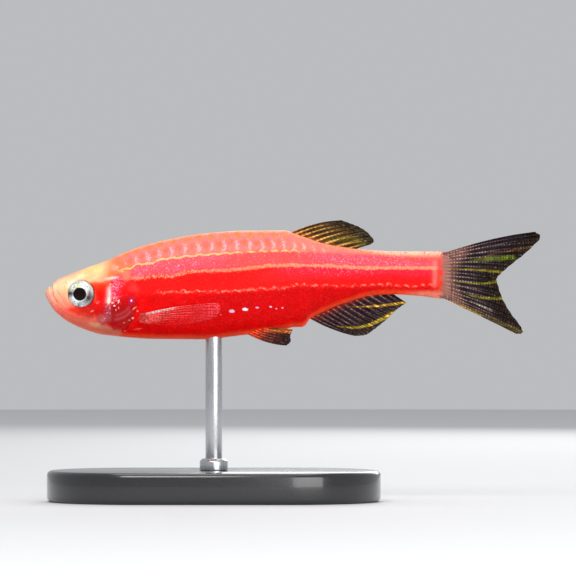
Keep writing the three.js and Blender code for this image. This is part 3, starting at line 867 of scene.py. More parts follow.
@dataclass
class Markings:
    """The fish's colours as a rule of place: zones, pale lines, and soft patches on the head."""

    lines: tuple[PaleLine, ...] = (
        PaleLine(
            Profile(
                (18, 2.4), (21.4, 3.1), (24.1, 4.2), (26.3, 4.2), (28.9, 5.2), (32.8, 5.7), (39.1, 6.4),
                (44.1, 6.7), (49.8, 7.1), (60.7, 7.5), (66.8, 7.2), (100, 5.5),
            ),
            strength=Profile((18, 0), (20, 0.9), (61, 0.95), (67, 0), (100, 0)),
            broken=Profile((18, 0.4), (22, 0.25), (60, 0.35), (100, 0.1)),
            dashes=Profile((0, 0), (46, 0), (50, 1), (60, 1), (62, 0.4), (100, 0)),
            zigzag=0.18,
        ),
        PaleLine(
            Profile(
                (18, 0.4), (24, 0.6), (28.2, 1.2), (31.5, 1.0), (34.7, 1.9), (38.3, 2.3), (46, 2.6),
                (51.4, 3.1), (56.9, 3.65), (63.5, 3.8), (71.3, 3.7), (76.1, 3.35), (80.9, 3.15), (100, 3.15),
            ),
            strength=Profile((20, 0), (25, 0.75), (98.2, 0.85), (99.2, 0), (102, 0)),
            broken=Profile((20, 1), (36, 0.9), (44, 0.6), (52, 0.45), (80, 0.35), (102, 0.3)),
            dashes=Profile((0, 0), (102, 0)),
        ),
        PaleLine(
            Profile(
                (18, -3.6), (28.2, -3.1), (34.5, -2.8), (41.8, -2.75), (51.4, -2.35), (59.6, -1.9),
                (65.2, -1.0),
                (69.8, -1.35), (77.3, -1.35), (84.4, -1.1), (92, -1.4), (100, -0.9),
            ),
            strength=Profile((27, 0), (30, 0.95), (55, 0.95), (64, 0.8), (97, 0.8), (98.6, 0), (102, 0)),
            broken=Profile((27, 1), (45, 0.9), (102, 0.85)),
            dashes=Profile((0, 0.6), (50, 0.7), (66, 0.9), (102, 1)),
            zigzag=0.24,
        ),
    )
    column_line: Profile = Profile(
        (0, -10.3), (15.3, -4), (17.8, -3), (20.4, -2), (23.2, -1), (26.1, 0), (29.05, 1), (32.2, 2),
        (35.6, 3),
        (38.9, 4), (42.1, 5), (45.3, 6), (48.6, 7), (51.8, 8), (54.8, 9), (57.7, 10), (60.3, 11), (62.9, 12),
        (65.3, 13), (67.9, 14), (70.6, 15), (73.0, 16), (75.4, 17), (77.7, 18), (80.1, 19), (82.3, 20),
        (84.5, 21), (86.6, 22), (88.8, 23), (91.0, 24), (93.1, 25), (95.2, 26), (97.2, 27), (99.1, 28),
        (103, 30),
    )
    belly_red: Colour = (0.72, 0.0004, 0.0004)
    flank_red: Colour = (0.7, 0.0003, 0.001)
    front_red: Colour = (0.79, 0.0005, 0.0005)
    bright_red: Colour = (0.99, 0.008, 0.007)
    magenta_red: Colour = (0.99, 0.012, 0.042)
    coral: Colour = (1.0, 0.08, 0.07)
    pink: Colour = (1.0, 0.075, 0.095)
    salmon: Colour = (1.0, 0.215, 0.145)
    rim: Colour = (1.0, 0.39, 0.18)
    cream_rim: Colour = (1.0, 0.56, 0.34)
    # Brighter along the belly's edge: partly its own orange-red rim, partly painted light standing in for
    # light from below.
    belly_rim: Colour = (1.0, 0.06, 0.014)
    pale_tan: Colour = (0.8, 0.26, 0.17)
    flesh_end: Colour = (0.33, 0.135, 0.1)
    hem: Colour = (0.98, 0.24, 0.2)
    ember: Colour = (0.98, 0.06, 0.02)
    head_salmon: Colour = (0.94, 0.19, 0.09)
    cream: Colour = (0.92, 0.57, 0.28)
    snout_rim: Colour = (1.0, 0.42, 0.28)
    throat_rim: Colour = (0.92, 0.16, 0.09)
    # Pale line along the gill cover's ridge: partly its own pale colour, partly a painted highlight on the
    # ridge.
    cover_ridge: Colour = (1.0, 0.58, 0.58)
    cover_seam: Colour = (0.3, 0.06, 0.07)
    face_tones: Ramp = Ramp(
        (-12.5, (0.66, 0.15, 0.09)), (-9.5, (0.82, 0.13, 0.08)), (-7.4, (0.98, 0.17, 0.12)),
        (-5.4, (1.0, 0.34, 0.21)), (-3.4, (1.0, 0.47, 0.29)), (-1.2, (1.0, 0.64, 0.36)),
    )
    cheek_tones: Ramp = Ramp(
        (-10.5, (0.58, 0.01, 0.008)), (-7.4, (0.62, 0.003, 0.003)), (-5.0, (0.8, 0.005, 0.005)),
        (-3.0, (0.92, 0.005, 0.001)), (-1.2, (0.96, 0.036, 0.004)), (0.2, (1.0, 0.18, 0.07)),
    )
    cover_tones: Ramp = Ramp(
        (-12.0, (0.46, 0.002, 0.002)), (-9.5, (0.4, 0.009, 0.011)), (-7.4, (0.4, 0.004, 0.004)),
        (-5.2, (0.58, 0.001, 0.002)), (-3.4, (0.8, 0.003, 0.005)), (-1.0, (0.88, 0.013, 0.014)),
    )
    head_edge: Profile = Profile(
        (0, -2.6), (4, -3.0), (6.5, -3.4), (10, -2.4), (11.6, -0.4), (14, 0.2), (17, 1.2), (30, 2.4)
    )
    cheek_foot: Profile = Profile((0, -8.0), (6.0, -8.1), (12.5, -9.2), (14.5, -10.5), (20, -12.8), (30, -16))
    patches: tuple[Patch, ...] = tuple(Patch(*row) for row in (
        (9.0, 0.9, 1.7, 0.8, 20, (0.92, 0.7, 0.42), 0.8),
        (11.4, 2.6, 1.5, 0.7, 20, (0.92, 0.56, 0.2), 0.8),
        (13.6, 2.8, 1.4, 0.9, 12, (0.93, 0.66, 0.26), 0.8),
        (17.6, 3.2, 0.9, 0.8, 0, (1.0, 0.46, 0.34), 0.5),
        (16.7, 1.7, 0.66, 0.5, 0, (1.0, 0.2, 0.02), 0.9),
        (16.8, 3.9, 0.55, 0.66, 0, (1.0, 0.34, 0.1), 0.6),
        (19.3, 3.3, 0.7, 0.5, 20, (1.0, 0.22, 0.05), 0.7),
        (21.5, 4.5, 1.8, 1.3, 20, (1.0, 0.18, 0.06), 0.6),
        (6.8, -0.9, 1.5, 1.3, 35, (1.0, 0.86, 0.64), 0.9),
        (1.2, -4.6, 0.66, 2.00, -25, (1.0, 0.34, 0.32), 0.75),
        (7.6, -7.6, 2.3, 0.75, -6, (1.0, 0.045, 0.014), 0.9),
        (10.8, -7.5, 2.00, 0.7, 10, (0.66, 0.02, 0.008), 0.85),
        (10.4, -8.6, 2.6, 0.55, -8, (0.66, 0.03, 0.018), 0.8),
        (12.7, -3.9, 0.4, 1.6, 0, (1.0, 0.11, 0.03), 0.5),
        (13.4, -5.4, 0.7, 0.45, 0, (1.0, 0.1, 0.09), 0.45),
        (14.0, 0.1, 1.5, 0.6, 0, (1.0, 0.44, 0.24), 0.85),
        (17.1, 0.6, 1.9, 0.42, 9, (1.0, 0.56, 0.52), 0.95),
        (15.6, 0.5, 0.6, 0.4, 0, (1.0, 0.56, 0.4), 0.7),
        (17.9, -2.6, 1.3, 2.2, 0, (0.88, 0.03, 0.085), 0.8),
        (14.4, -9.6, 1.3, 1.1, -20, (0.46, 0.115, 0.105), 0.7),
        (19.0, -0.8, 1.4, 0.6, 8, (1.0, 0.06, 0.08), 0.6),
        (19.8, -5.2, 1.4, 1.2, 0, (0.62, 0.001, 0.002), 0.85),
        (17.6, -7.6, 1.00, 0.7, 10, (0.33, 0.002, 0.003), 0.8),
        (16.3, -8.6, 0.5, 1.7, 6, (0.34, 0.07, 0.08), 0.65),
        (21.8, -5.2, 0.8, 1.3, -15, (0.48, 0.01, 0.07), 0.8),
        (13.2, -11.3, 2.3, 0.65, -14, (0.66, 0.28, 0.17), 0.85),
        (15.6, -11.9, 1.6, 0.4, -10, (0.64, 0.17, 0.11), 0.7),
        (16.6, -12.7, 2.4, 0.22, -8, (0.52, 0.2, 0.12), 0.5),
        (20.6, 1.0, 1.4, 1.2, 0, (1.0, 0.2, 0.14), 0.85),
        (23.3, 0.6, 1.2, 0.5, 10, (1.0, 0.26, 0.17), 0.7),
        (22.5, -2.0, 1.6, 1.00, 0, (1.0, 0.045, 0.035), 0.6),
    ))

    def colour(self, body: Body, forms: "HeadForms", x: Rows, z: Rows) -> Rows:
        """The ground colour at some places of the skin, in percent."""
        trunk = self.trunk_colour(body, x, z)
        head = self.head_colour(body, forms, x, z)
        colour = blend(head, trunk, smooth(-0.7, 0.7, forms.gill_edge(x, z)))
        colour = self.cover_colour(forms, x, z, colour)
        for patch in self.patches:
            colour = patch.lay(colour, x, z)
        return colour

    def trunk_colour(self, body: Body, x: Rows, z: Rows) -> Rows:
        """The ground colour behind the head, from the belly up to the back."""
        top, bottom = body.back(x), body.belly(x)
        first, second, third = (line.path(x) for line in self.lines)
        low = blend(self.front_red, self.flank_red, smooth(34, 44, x))
        middle = blend(self.bright_red, self.magenta_red, smooth(54, 66, x) * smooth(third + 1, second, z))
        upper = layered(self.pink, (self.coral, smooth(40, 52, x)), (self.pink, smooth(62, 72, x)))
        rim = blend(self.rim, self.cream_rim, smooth(76, 90, x))
        depth = 0.7 + 0.7 * smooth(78, 92, x)
        colour = layered(
            self.belly_red,
            (low, smooth(bottom + 2, third - 1.2, z)),
            (middle, smooth(third - 0.9, third + 0.3, z)),
            (upper, smooth(second - 0.4, second + 0.3, z)),
            (self.salmon, smooth(first - 0.4, first + 0.5, z)),
            (rim, smooth(top - depth, top - 0.3, z)),
            (self.ember, bell(z - top + depth + 0.35, 0.32) * smooth(80, 88, x) * 0.55),
            # The belly's edge, lighter: partly painted light from below.
            (self.belly_rim, 1 - smooth(bottom + 0.5, bottom + 1.5, z)),
        )
        return self.tail_base_colour(x, z, colour)

    def tail_base_colour(self, x: Rows, z: Rows, under: Rows) -> Rows:
        """The pale hem, the ragged end of the red, and the tan flesh that the tail's rays grow from."""
        low_tail = smooth(88, 97, x) * (1 - smooth(-3.4, -2.2, z))
        ragged = x + 0.22 * np.sin(z * 2.3) + 0.12 * np.sin(z * 7.1 + 1.0) + 0.05 * np.abs(z - 1.5)
        return layered(
            under,
            (self.pale_tan, low_tail * 0.8),
            (self.hem, bell(x - 98.2, 0.5) * span(z, -2.4, -1.0, 4.5, 6.0) * 0.7),
            (self.ember, bell(x - 99.4, 0.45) * span(z, -3.2, -2.2, 4.6, 5.6) * 0.8),
            (self.flesh_end, smooth(99.7, 100.5, ragged)),
        )

    def head_colour(self, body: Body, forms: "HeadForms", x: Rows, z: Rows) -> Rows:
        """The ground colour of the head: pale face, red cheek, gill cover and cream crown."""
        edge = self.head_edge(x)
        top, bottom = body.back(x), body.belly(x)
        foot = self.cheek_foot(x) + 0.25 * np.sin(2.1 * x) + 0.12 * np.sin(5.3 * x + z)
        above_foot = smooth(foot - 1.1, foot + 0.9, z)
        crown = blend(self.cream, self.head_salmon, smooth(13.2, 18.0, x - 0.3 * (z - 3)))
        return layered(
            self.face_tones(z),
            (self.cheek_tones(z), smooth(5.5, 9.0, x) * above_foot),
            (self.cover_tones(z), smooth(-0.3, 0.5, forms.ridge(x, z)) * above_foot),
            (crown, smooth(edge - 0.7, edge + 0.6, z) * smooth(4.0, 7.5, x - 0.5 * z)),
            (self.snout_rim, smooth(top - 0.9, top - 0.1, z) * (1 - smooth(7, 12, x))),
            (self.throat_rim, 1 - smooth(bottom + 0.1, bottom + 1.0, z)),
        )

    def cover_colour(self, forms: "HeadForms", x: Rows, z: Rows, under: Rows) -> Rows:
        """The pale front ridge of the gill cover, partly its own pale colour and partly a painted highlight,
        and the streaks under it.
        """
        ridge = forms.ridge(x, z)
        return layered(
            under,
            (self.cover_ridge, bell(ridge - 0.15, 0.6) * span(z, -6.4, -5.0, -2.2, -0.6) * 0.88),
            (self.cover_seam, bell(ridge - 0.2, 0.8) * span(z, -12, -10, -7.0, -5.5) * 0.8),
            *((tint, shown * 0.8) for tint, shown in forms.seam_lines(x, z)),
        )

    def marks(self, forms: "HeadForms", x: Rows, z: Rows) -> Rows:
        """How thickly the finish lays orange spots, pale flecks and painted glints off the guanine on each
        place.
        """
        first, second, third = (line.path(x) for line in self.lines)
        behind_head = smooth(-0.6, 0.8, forms.gill_edge(x, z))
        above = smooth(first + 0.1, first + 0.8, z) * behind_head * smooth(17, 22, x)
        orange = above * (1 - 0.6 * smooth(56, 63, x)) * (1 - smooth(63, 70, x))
        fleck = above * span(x, 16, 20, 78, 85)
        flank = behind_head * (1 - smooth(98.2, 99.2, x))
        between = span(z, second, second + 0.6, first - 0.3, first + 0.3) * flank
        amount = 0.42 - 0.14 * smooth(38, 48, x) + 0.22 * smooth(62, 74, x) - 0.2 * smooth(90, 96, x)
        glint = between * amount
        under = span(z, third + 0.5, second - 0.4, second - 0.2, second + 0.2)
        glint += 0.3 * under * span(x, 54, 64, 80, 92) + 0.4 * above
        # More painted glints on the gill cover, near its ridge and on the dark zone under it.
        ridge = forms.ridge(x, z)
        plate = smooth(0, 0.6, ridge) * (1 - smooth(0.2, 1.2, z)) * smooth(-6.8, -5.0, z) * (1 - behind_head)
        glint += plate * (0.62 - 0.52 * smooth(1.6, 4.2, ridge))
        glint += 0.55 * bell(ridge - 0.2, 0.9) * span(z, -12.5, -9.0, -6.0, -5.0)
        return np.column_stack([orange, fleck, np.clip(glint, 0, 1)])


@dataclass
class HeadForms:
    """The forms that stand out of the head: lips, nostrils, orbits and gill covers. Places in percent."""

    jaw_line: Pairs = ((1.62, -1.2), (1.72, -2.6), (2.05, -3.9), (2.6, -5.0), (3.25, -5.9))
    gill_centre: tuple[float, float] = (10.45, -4.08)
    gill_radius: float = 12.8
    ridge_line: Pairs = (
        (17.2, 1.2), (16.6, -0.4), (16.2, -2.4), (16.05, -4.4), (15.8, -6.0), (15.7, -8.0), (15.0, -9.8),
        (13.2, -11.4),
    )
    seams: tuple[tuple[Pairs, Colour, float], ...] = (
        (((17.2, -9.9), (19.0, -9.5), (20.8, -8.6), (22.0, -7.2)), (0.5, 0.075, 0.095), 0.24),
        (((15.8, -11.2), (18.4, -10.9), (20.6, -9.9), (22.2, -8.3)), (0.38, 0.004, 0.01), 0.28),
        (((17.4, -8.9), (19.0, -8.5), (20.6, -7.5), (21.6, -6.2)), (0.56, 0.05, 0.045), 0.26),
        (((16.6, -12.2), (18.8, -12.0), (21.0, -10.9), (22.4, -9.4)), (0.42, 0.012, 0.014), 0.26),
    )
    nostrils: Pairs = ((5.35, -0.75), (6.2, -0.35))
    mouth_mm: tuple[float, float, float] = (0.15, 0.055, 0.085)
    lip_off: float = 0.52
    orbit_rim_mm: float = 0.05
    orbit_deep_mm: float = 1.15
    pouch_mm: tuple[float, float] = (0.035, 0.025)
    nostril_mm: tuple[float, float] = (0.04, 0.14)
    fin_bud: tuple[float, float] = (24.0, -9.7)
    fin_bud_mm: float = 0.1
    plate_mm: tuple[float, float] = (0.11, 0.06)
    ridge_mm: tuple[float, float] = (0.06, 0.05)
    seam_mm: float = 0.035

    def gill_edge(self, x: Rows, z: Rows) -> Rows:
        """The distance behind the gill opening, in percent."""
        return np.hypot(x - self.gill_centre[0], z - self.gill_centre[1]) - self.gill_radius

    def ridge(self, x: Rows, z: Rows) -> Rows:
        """The distance behind the gill cover's front ridge, in percent."""
        return path_distance(x, z, self.ridge_line, 24)[0]

    def seam_lines(self, x: Rows, z: Rows) -> list[tuple[Colour, Rows]]:
        """Each seam's colour, with how much of the seam is at each place, 0 to 1."""
        found = []
        for path, tint, half in self.seams:
            share, away = path_distance(x, z, path)[1:]
            found.append((tint, bell(away, half) * span(share, 0.0, 0.2, 0.8, 1.0)))
        return found

    def relief(self, x: Rows, z: Rows) -> Rows:
        """How far these forms stand out of the plain body, in metres."""
        out = self._mouth(x, z) + self._gills(x, z)
        rim = np.hypot(x - EYE_PLACE[0], z - EYE_PLACE[1]) - EYE_RADIUS
        out += self.orbit_rim_mm * bell(rim - 0.5, 0.42)
        out -= self.orbit_deep_mm * (1 - smooth(-0.28, 0.06, rim))
        below = 1 - smooth(-5.0, -2.5, z)
        out -= self.pouch_mm[0] * bell(rim - 1.55, 0.3) * below
        out += self.pouch_mm[1] * bell(rim - 2.2, 0.35) * below * (x < 15)
        for place in self.nostrils:
            hole = np.hypot(x - place[0], z - place[1])
            out += self.nostril_mm[0] * bell(hole - 0.42, 0.16) - self.nostril_mm[1] * bell(hole, 0.22)
        out += self.fin_bud_mm * bell(np.hypot((x - self.fin_bud[0]) / 1.3, z - self.fin_bud[1]), 1.0)
        return out * MM

    def _mouth(self, x: Rows, z: Rows) -> Rows:
        """The groove between the jaws and the lips beside it, in millimetres."""
        groove, width, lip = self.mouth_mm
        share, away = path_distance(x, z, self.jaw_line, 24)[1:]
        open_share = 1 - smooth(0.86, 1.0, share)
        form = lip * bell(away - self.lip_off, 0.34) * (1 - 0.45 * share)
        return open_share * (form - groove * bell(away, width / PERCENT * MM * 2.2))

    def _gills(self, x: Rows, z: Rows) -> Rows:
        """The gill cover's free rear edge, its front ridge, and the seams under it, in millimetres."""
        behind = self.gill_edge(x, z)
        swell, gap = self.plate_mm
        plate = np.where(behind < 0, swell * np.exp(behind / 2.0), -gap * np.exp(-behind / 0.45))
        ridge = self.ridge(x, z)
        edge = self.ridge_mm[0] * bell(ridge - 0.25, 0.45) - self.ridge_mm[1] * bell(ridge + 0.55, 0.4)
        out = plate * span(z, -13.8, -12.0, 0.2, 2.2) * (x > 14) + edge * span(z, -12.6, -11.0, 0.0, 1.4)
        return out - self.seam_mm * sum(shown for _, shown in self.seam_lines(x, z))


@dataclass
class Skin:
    """One skin from the lips to the tail's root, without a seam."""

    body: Body
    markings: Markings
    forms: HeadForms
    tail: "Fin"
    around: int = 180
    along: int = 340
    crowding: float = 1.5
    row_mm: Profile = Profile((16, 0.9), (40, 1.00), (70, 0.86), (100, 0.62))
    top_row_mm: Profile = Profile((16, 1.15), (56, 1.15), (66, 0.7), (100, 0.45))
    ray_start: float = 98.7
    ray_full: float = 102.4
    ray_mm: float = 0.05
    pale_ray: Colour = (0.5, 0.27, 0.21)
    dusk: Colour = (0.17, 0.076, 0.066)
    finish: SkinFinish = SkinFinish("wet_skin")

    def build(self) -> Piece:
        """Stretches a sphere along the fish, raises the head's forms on it, and paints it."""
        bpy.ops.mesh.primitive_uv_sphere_add(segments=self.around, ring_count=self.along, radius=1)
        skin = named("skin")
        ball = points_of(skin)
        polar = np.arccos(np.clip(ball[:, 2], -1, 1)) / np.pi
        turn = np.arctan2(ball[:, 1], ball[:, 0]) / np.pi
        x = self.body.end * polar**self.crowding
        side = np.where(turn < 0, -1.0, 1.0)
        share = np.abs(turn)
        rows = self.body.at(x, share, side)
        normals = self.body.normals(x, share, side)
        crest, bare = self.tail_rays(x, rows[:, 2])
        raised = (self.forms.relief(x, rows[:, 2]) + self.ray_mm * MM * crest * bare) / PERCENT
        move_points(skin, frame_rows(rows + normals * raised[:, None]))
        self.paint(skin, x, rows[:, 2], share)
        face_outwards(skin)
        bpy.ops.object.shade_smooth()
        return skin

    def tail_rays(self, x: Rows, z: Rows) -> tuple[Rows, Rows]:
        """How the tail's rays show through the last of the flesh.

        Args:
            x: Places along the fish, in percent.
            z: Their heights.

        Returns:
            How much of a ray each place holds, and how bare the rays are there, 0 to 1.
        """
        crest = np.zeros(len(x))
        rear = x > self.ray_start
        if rear.any():
            across = self.tail.across_at(x[rear], z[rear])
            crest[rear] = self.tail.ridges(across, np.zeros(len(across)))
        return crest, smooth(100.2, self.ray_full, x)

    def row_at(self, x: Rows, share: Rows) -> Rows:
        """Which row of scales places are in, counted down from the back, as a broken number."""
        down = (1 - share) * np.interp(x, self.body.table_x, self.body.girth) * PERCENT / MM
        return (down - self.top_row_mm(x)) / self.row_mm(x)

    def paint(self, piece: Piece, x: Rows, z: Rows, share: Rows | None = None) -> None:
        """Keeps the colours and the markings of some places on a piece of skin or scales.

        Args:
            piece: The piece.
            x: Its vertices' places along the fish, in percent.
            z: Their heights.
            share: How far up round the section they are, where the scales' net is wanted.
        """
        ground = self.markings.colour(self.body, self.forms, x, z)
        crest, bare = self.tail_rays(x, z)
        rays = ((self.dusk, bare * (1 - crest) * 0.85), (self.pale_ray, bare * crest * 0.9))
        store(piece, "paint", layered(ground, *rays))
        column = self.markings.column_line(x)
        if share is not None:
            store(piece, "marks", self.markings.marks(self.forms, x, z))
            store(piece, "net", np.column_stack([column, self.row_at(x, share), np.zeros(len(x))]))
        for number, line in enumerate(self.markings.lines, start=1):
            store(piece, f"line_{number}", line.read(x, z, column))

    def dress(self, skin: Piece) -> None:
        """Finishes the skin and lets it stand for the flesh."""
        flesh = ("head", "gill_cover_left", "gill_cover_right", "trunk", "tail_stem")
        install(skin, self.finish, "skin", *flesh)


@dataclass
class Scales:
    """The coat of scales: thin round plates that overlap backwards, in rows along each side."""

    skin: Skin
    side: Side
    overlap: float = 1.62
    rows: int = 14
    columns: tuple[int, int] = (-4, 28)
    visible_middle: float = 0.31
    sunk_mm: float = 0.04
    raised_mm: float = 0.026
    thick_mm: float = 0.016
    curl_mm: float = 0.012
    taper: tuple[float, float] = (0.34, 0.32)
    half_width: float = 1.16
    edge_spare: float = 0.42
    behind_gills: float = 1.5
    last_x: float = 98.9
    stray: tuple[float, float] = (0.02, 0.025)
    low_relief: float = 0.5
    grid: tuple[int, int] = (5, 5)
    patch: float = 0.0015
    uv_margin: tuple[float, float] = (0.02, 0.01)
    seed: int = 11

    def plate(self) -> tuple[Rows, list[list[int]]]:
        """One scale, modelled flat: places along and across it from -1 to 1, and its height.

        Returns:
            Its vertices and its faces.
        """
        bpy.ops.mesh.primitive_grid_add(x_subdivisions=self.grid[0], y_subdivisions=self.grid[1], size=2)
        plate = bpy.context.object
        rows = points_of(plate)
        along, across = rows[:, 0].copy(), rows[:, 1].copy()
        rear = np.clip(along, 0, 1)
        rows[:, 0] = along * (1 - self.taper[0] * across**2 * (along > 0))
        rows[:, 1] = across * (1 - self.taper[1] * rear**2)
        rise = smooth(-1.0, 1.0, along)
        rows[:, 2] = (self.sunk_mm + self.raised_mm) * rise - self.sunk_mm - self.curl_mm * across**2
        move_points(plate, rows)
        apply_modifier(plate, "SOLIDIFY", thickness=self.thick_mm, offset=-1.0)
        face_outwards(plate)
        shape = points_of(plate)
        faces = [list(p.vertices) for p in plate.data.polygons]
        bpy.data.objects.remove(plate)
        return shape, faces

    def centres(self) -> Rows:
        """Where the scales sit: x in percent, arc length above the side's middle in percent, and row."""
        rng = np.random.default_rng(self.seed)
        line = self.skin.markings.column_line
        found = []
        for row in range(self.rows):
            other = row % 2
            for column in range(self.columns[0], self.columns[1] + 1):
                place = column - self.visible_middle + 0.5 * other + rng.normal(0, self.stray[0])
                x = float(np.interp(place, line.y, line.x))
                down = (float(self.skin.top_row_mm(x)) + row * float(self.skin.row_mm(x))) * MM / PERCENT
                upper = (1 - float(self.middle_at(x))) * float(self.girth_at(x))
                found.append((x, upper - down + rng.normal(0, self.stray[1]), row))
        rows = np.array(found)
        share = self.share_at(rows[:, 0], rows[:, 1])
        spare = self.edge_spare * self.skin.row_mm(rows[:, 0]) * MM / PERCENT / self.girth_at(rows[:, 0])
        place = self.skin.body.at(rows[:, 0], np.clip(share, 0, 1), np.ones(len(rows)))
        clear_of_head = self.skin.forms.gill_edge(place[:, 0], place[:, 2]) > self.behind_gills
        before_tail = rows[:, 0] < self.last_x
        return rows[(share > spare) & (share < 1 - spare) & clear_of_head & before_tail]

    def girth_at(self, x: Rows) -> Rows:
        """Half the way round the body, in percent."""
        return np.interp(x, self.skin.body.table_x, self.skin.body.girth)

    def middle_at(self, x: Rows) -> Rows:
        """How far up round the section its widest place is, 0 to 1."""
        return np.interp(x, self.skin.body.table_x, self.skin.body.middle)

    def share_at(self, x: Rows, arc: Rows) -> Rows:
        """How far up round the section an arc length above the middle is, 0 to 1."""
        return self.middle_at(x) + arc / self.girth_at(x)

    def build(self) -> Piece:
        """Bends a copy of the plate onto the skin at each centre, and joins them."""
        shape, plate_faces = self.plate()
        centres = self.centres()
        count, size = len(centres), len(shape)
        line = self.skin.markings.column_line
        column = np.interp(centres[:, 0], line.x, line.y)
        pitch = np.interp(column + 0.5, line.y, line.x) - np.interp(column - 0.5, line.y, line.x)
        long = pitch * self.overlap / 2
        wide = self.skin.row_mm(centres[:, 0]) * MM / PERCENT * self.half_width
        x = (centres[:, 0, None] + long[:, None] * shape[None, :, 0]).ravel()
        arc = (centres[:, 1, None] + wide[:, None] * shape[None, :, 1]).ravel()
        share = np.clip(self.share_at(x, arc), 0.0, 1.0)
        side = np.full(len(x), float(self.side.value))
        x = np.clip(x, 0.0, self.skin.body.end - 0.05)
        flatter = 1 - self.low_relief * smooth(3.0, 7.0, centres[:, 2])
        lift = (flatter[:, None] * shape[None, :, 2]).ravel() * MM / PERCENT
        rows = self.skin.body.at(x, share, side)
        rows += self.skin.body.normals(x, share, side) * lift[:, None]
        faces = [[v + i * size for v in face] for i in range(count) for face in plate_faces]
        coat = mesh_piece(f"scales_{self.side.word}", frame_rows(rows).tolist(), [], faces)
        self.unwrap(coat, centres, np.tile(shape[:, :2], (count, 1)), size)
        self.skin.paint(coat, x, rows[:, 2], share)
        face_outwards(coat)
        soften(coat, 60)
        return coat

    def unwrap(self, coat: Piece, centres: Rows, local: Rows, size: int) -> None:
        """Gives each scale a small patch at its root's place on the skin's own unwrap."""
        upper = 0.5 if self.side is Side.RIGHT else 0.0
        aside, below = self.uv_margin
        u = aside + (1 - 2 * aside) * centres[:, 0] / self.skin.body.end
        share = np.clip(self.share_at(centres[:, 0], centres[:, 1]), 0, 1)
        v = upper + below + (0.5 - 2 * below) * share
        root = np.repeat(np.column_stack([u, v]), size, axis=0)
        spots = root + local * self.patch
        corners = np.empty(len(coat.data.loops), int)
        coat.data.loops.foreach_get("vertex_index", corners)
        layer = coat.data.uv_layers.new(name="OFBake")
        layer.data.foreach_set("uv", spots[corners].ravel())

    def dress(self, coat: Piece) -> None:
        """Gives the scales the skin's own finish."""
        install(coat, self.skin.finish, "skin")


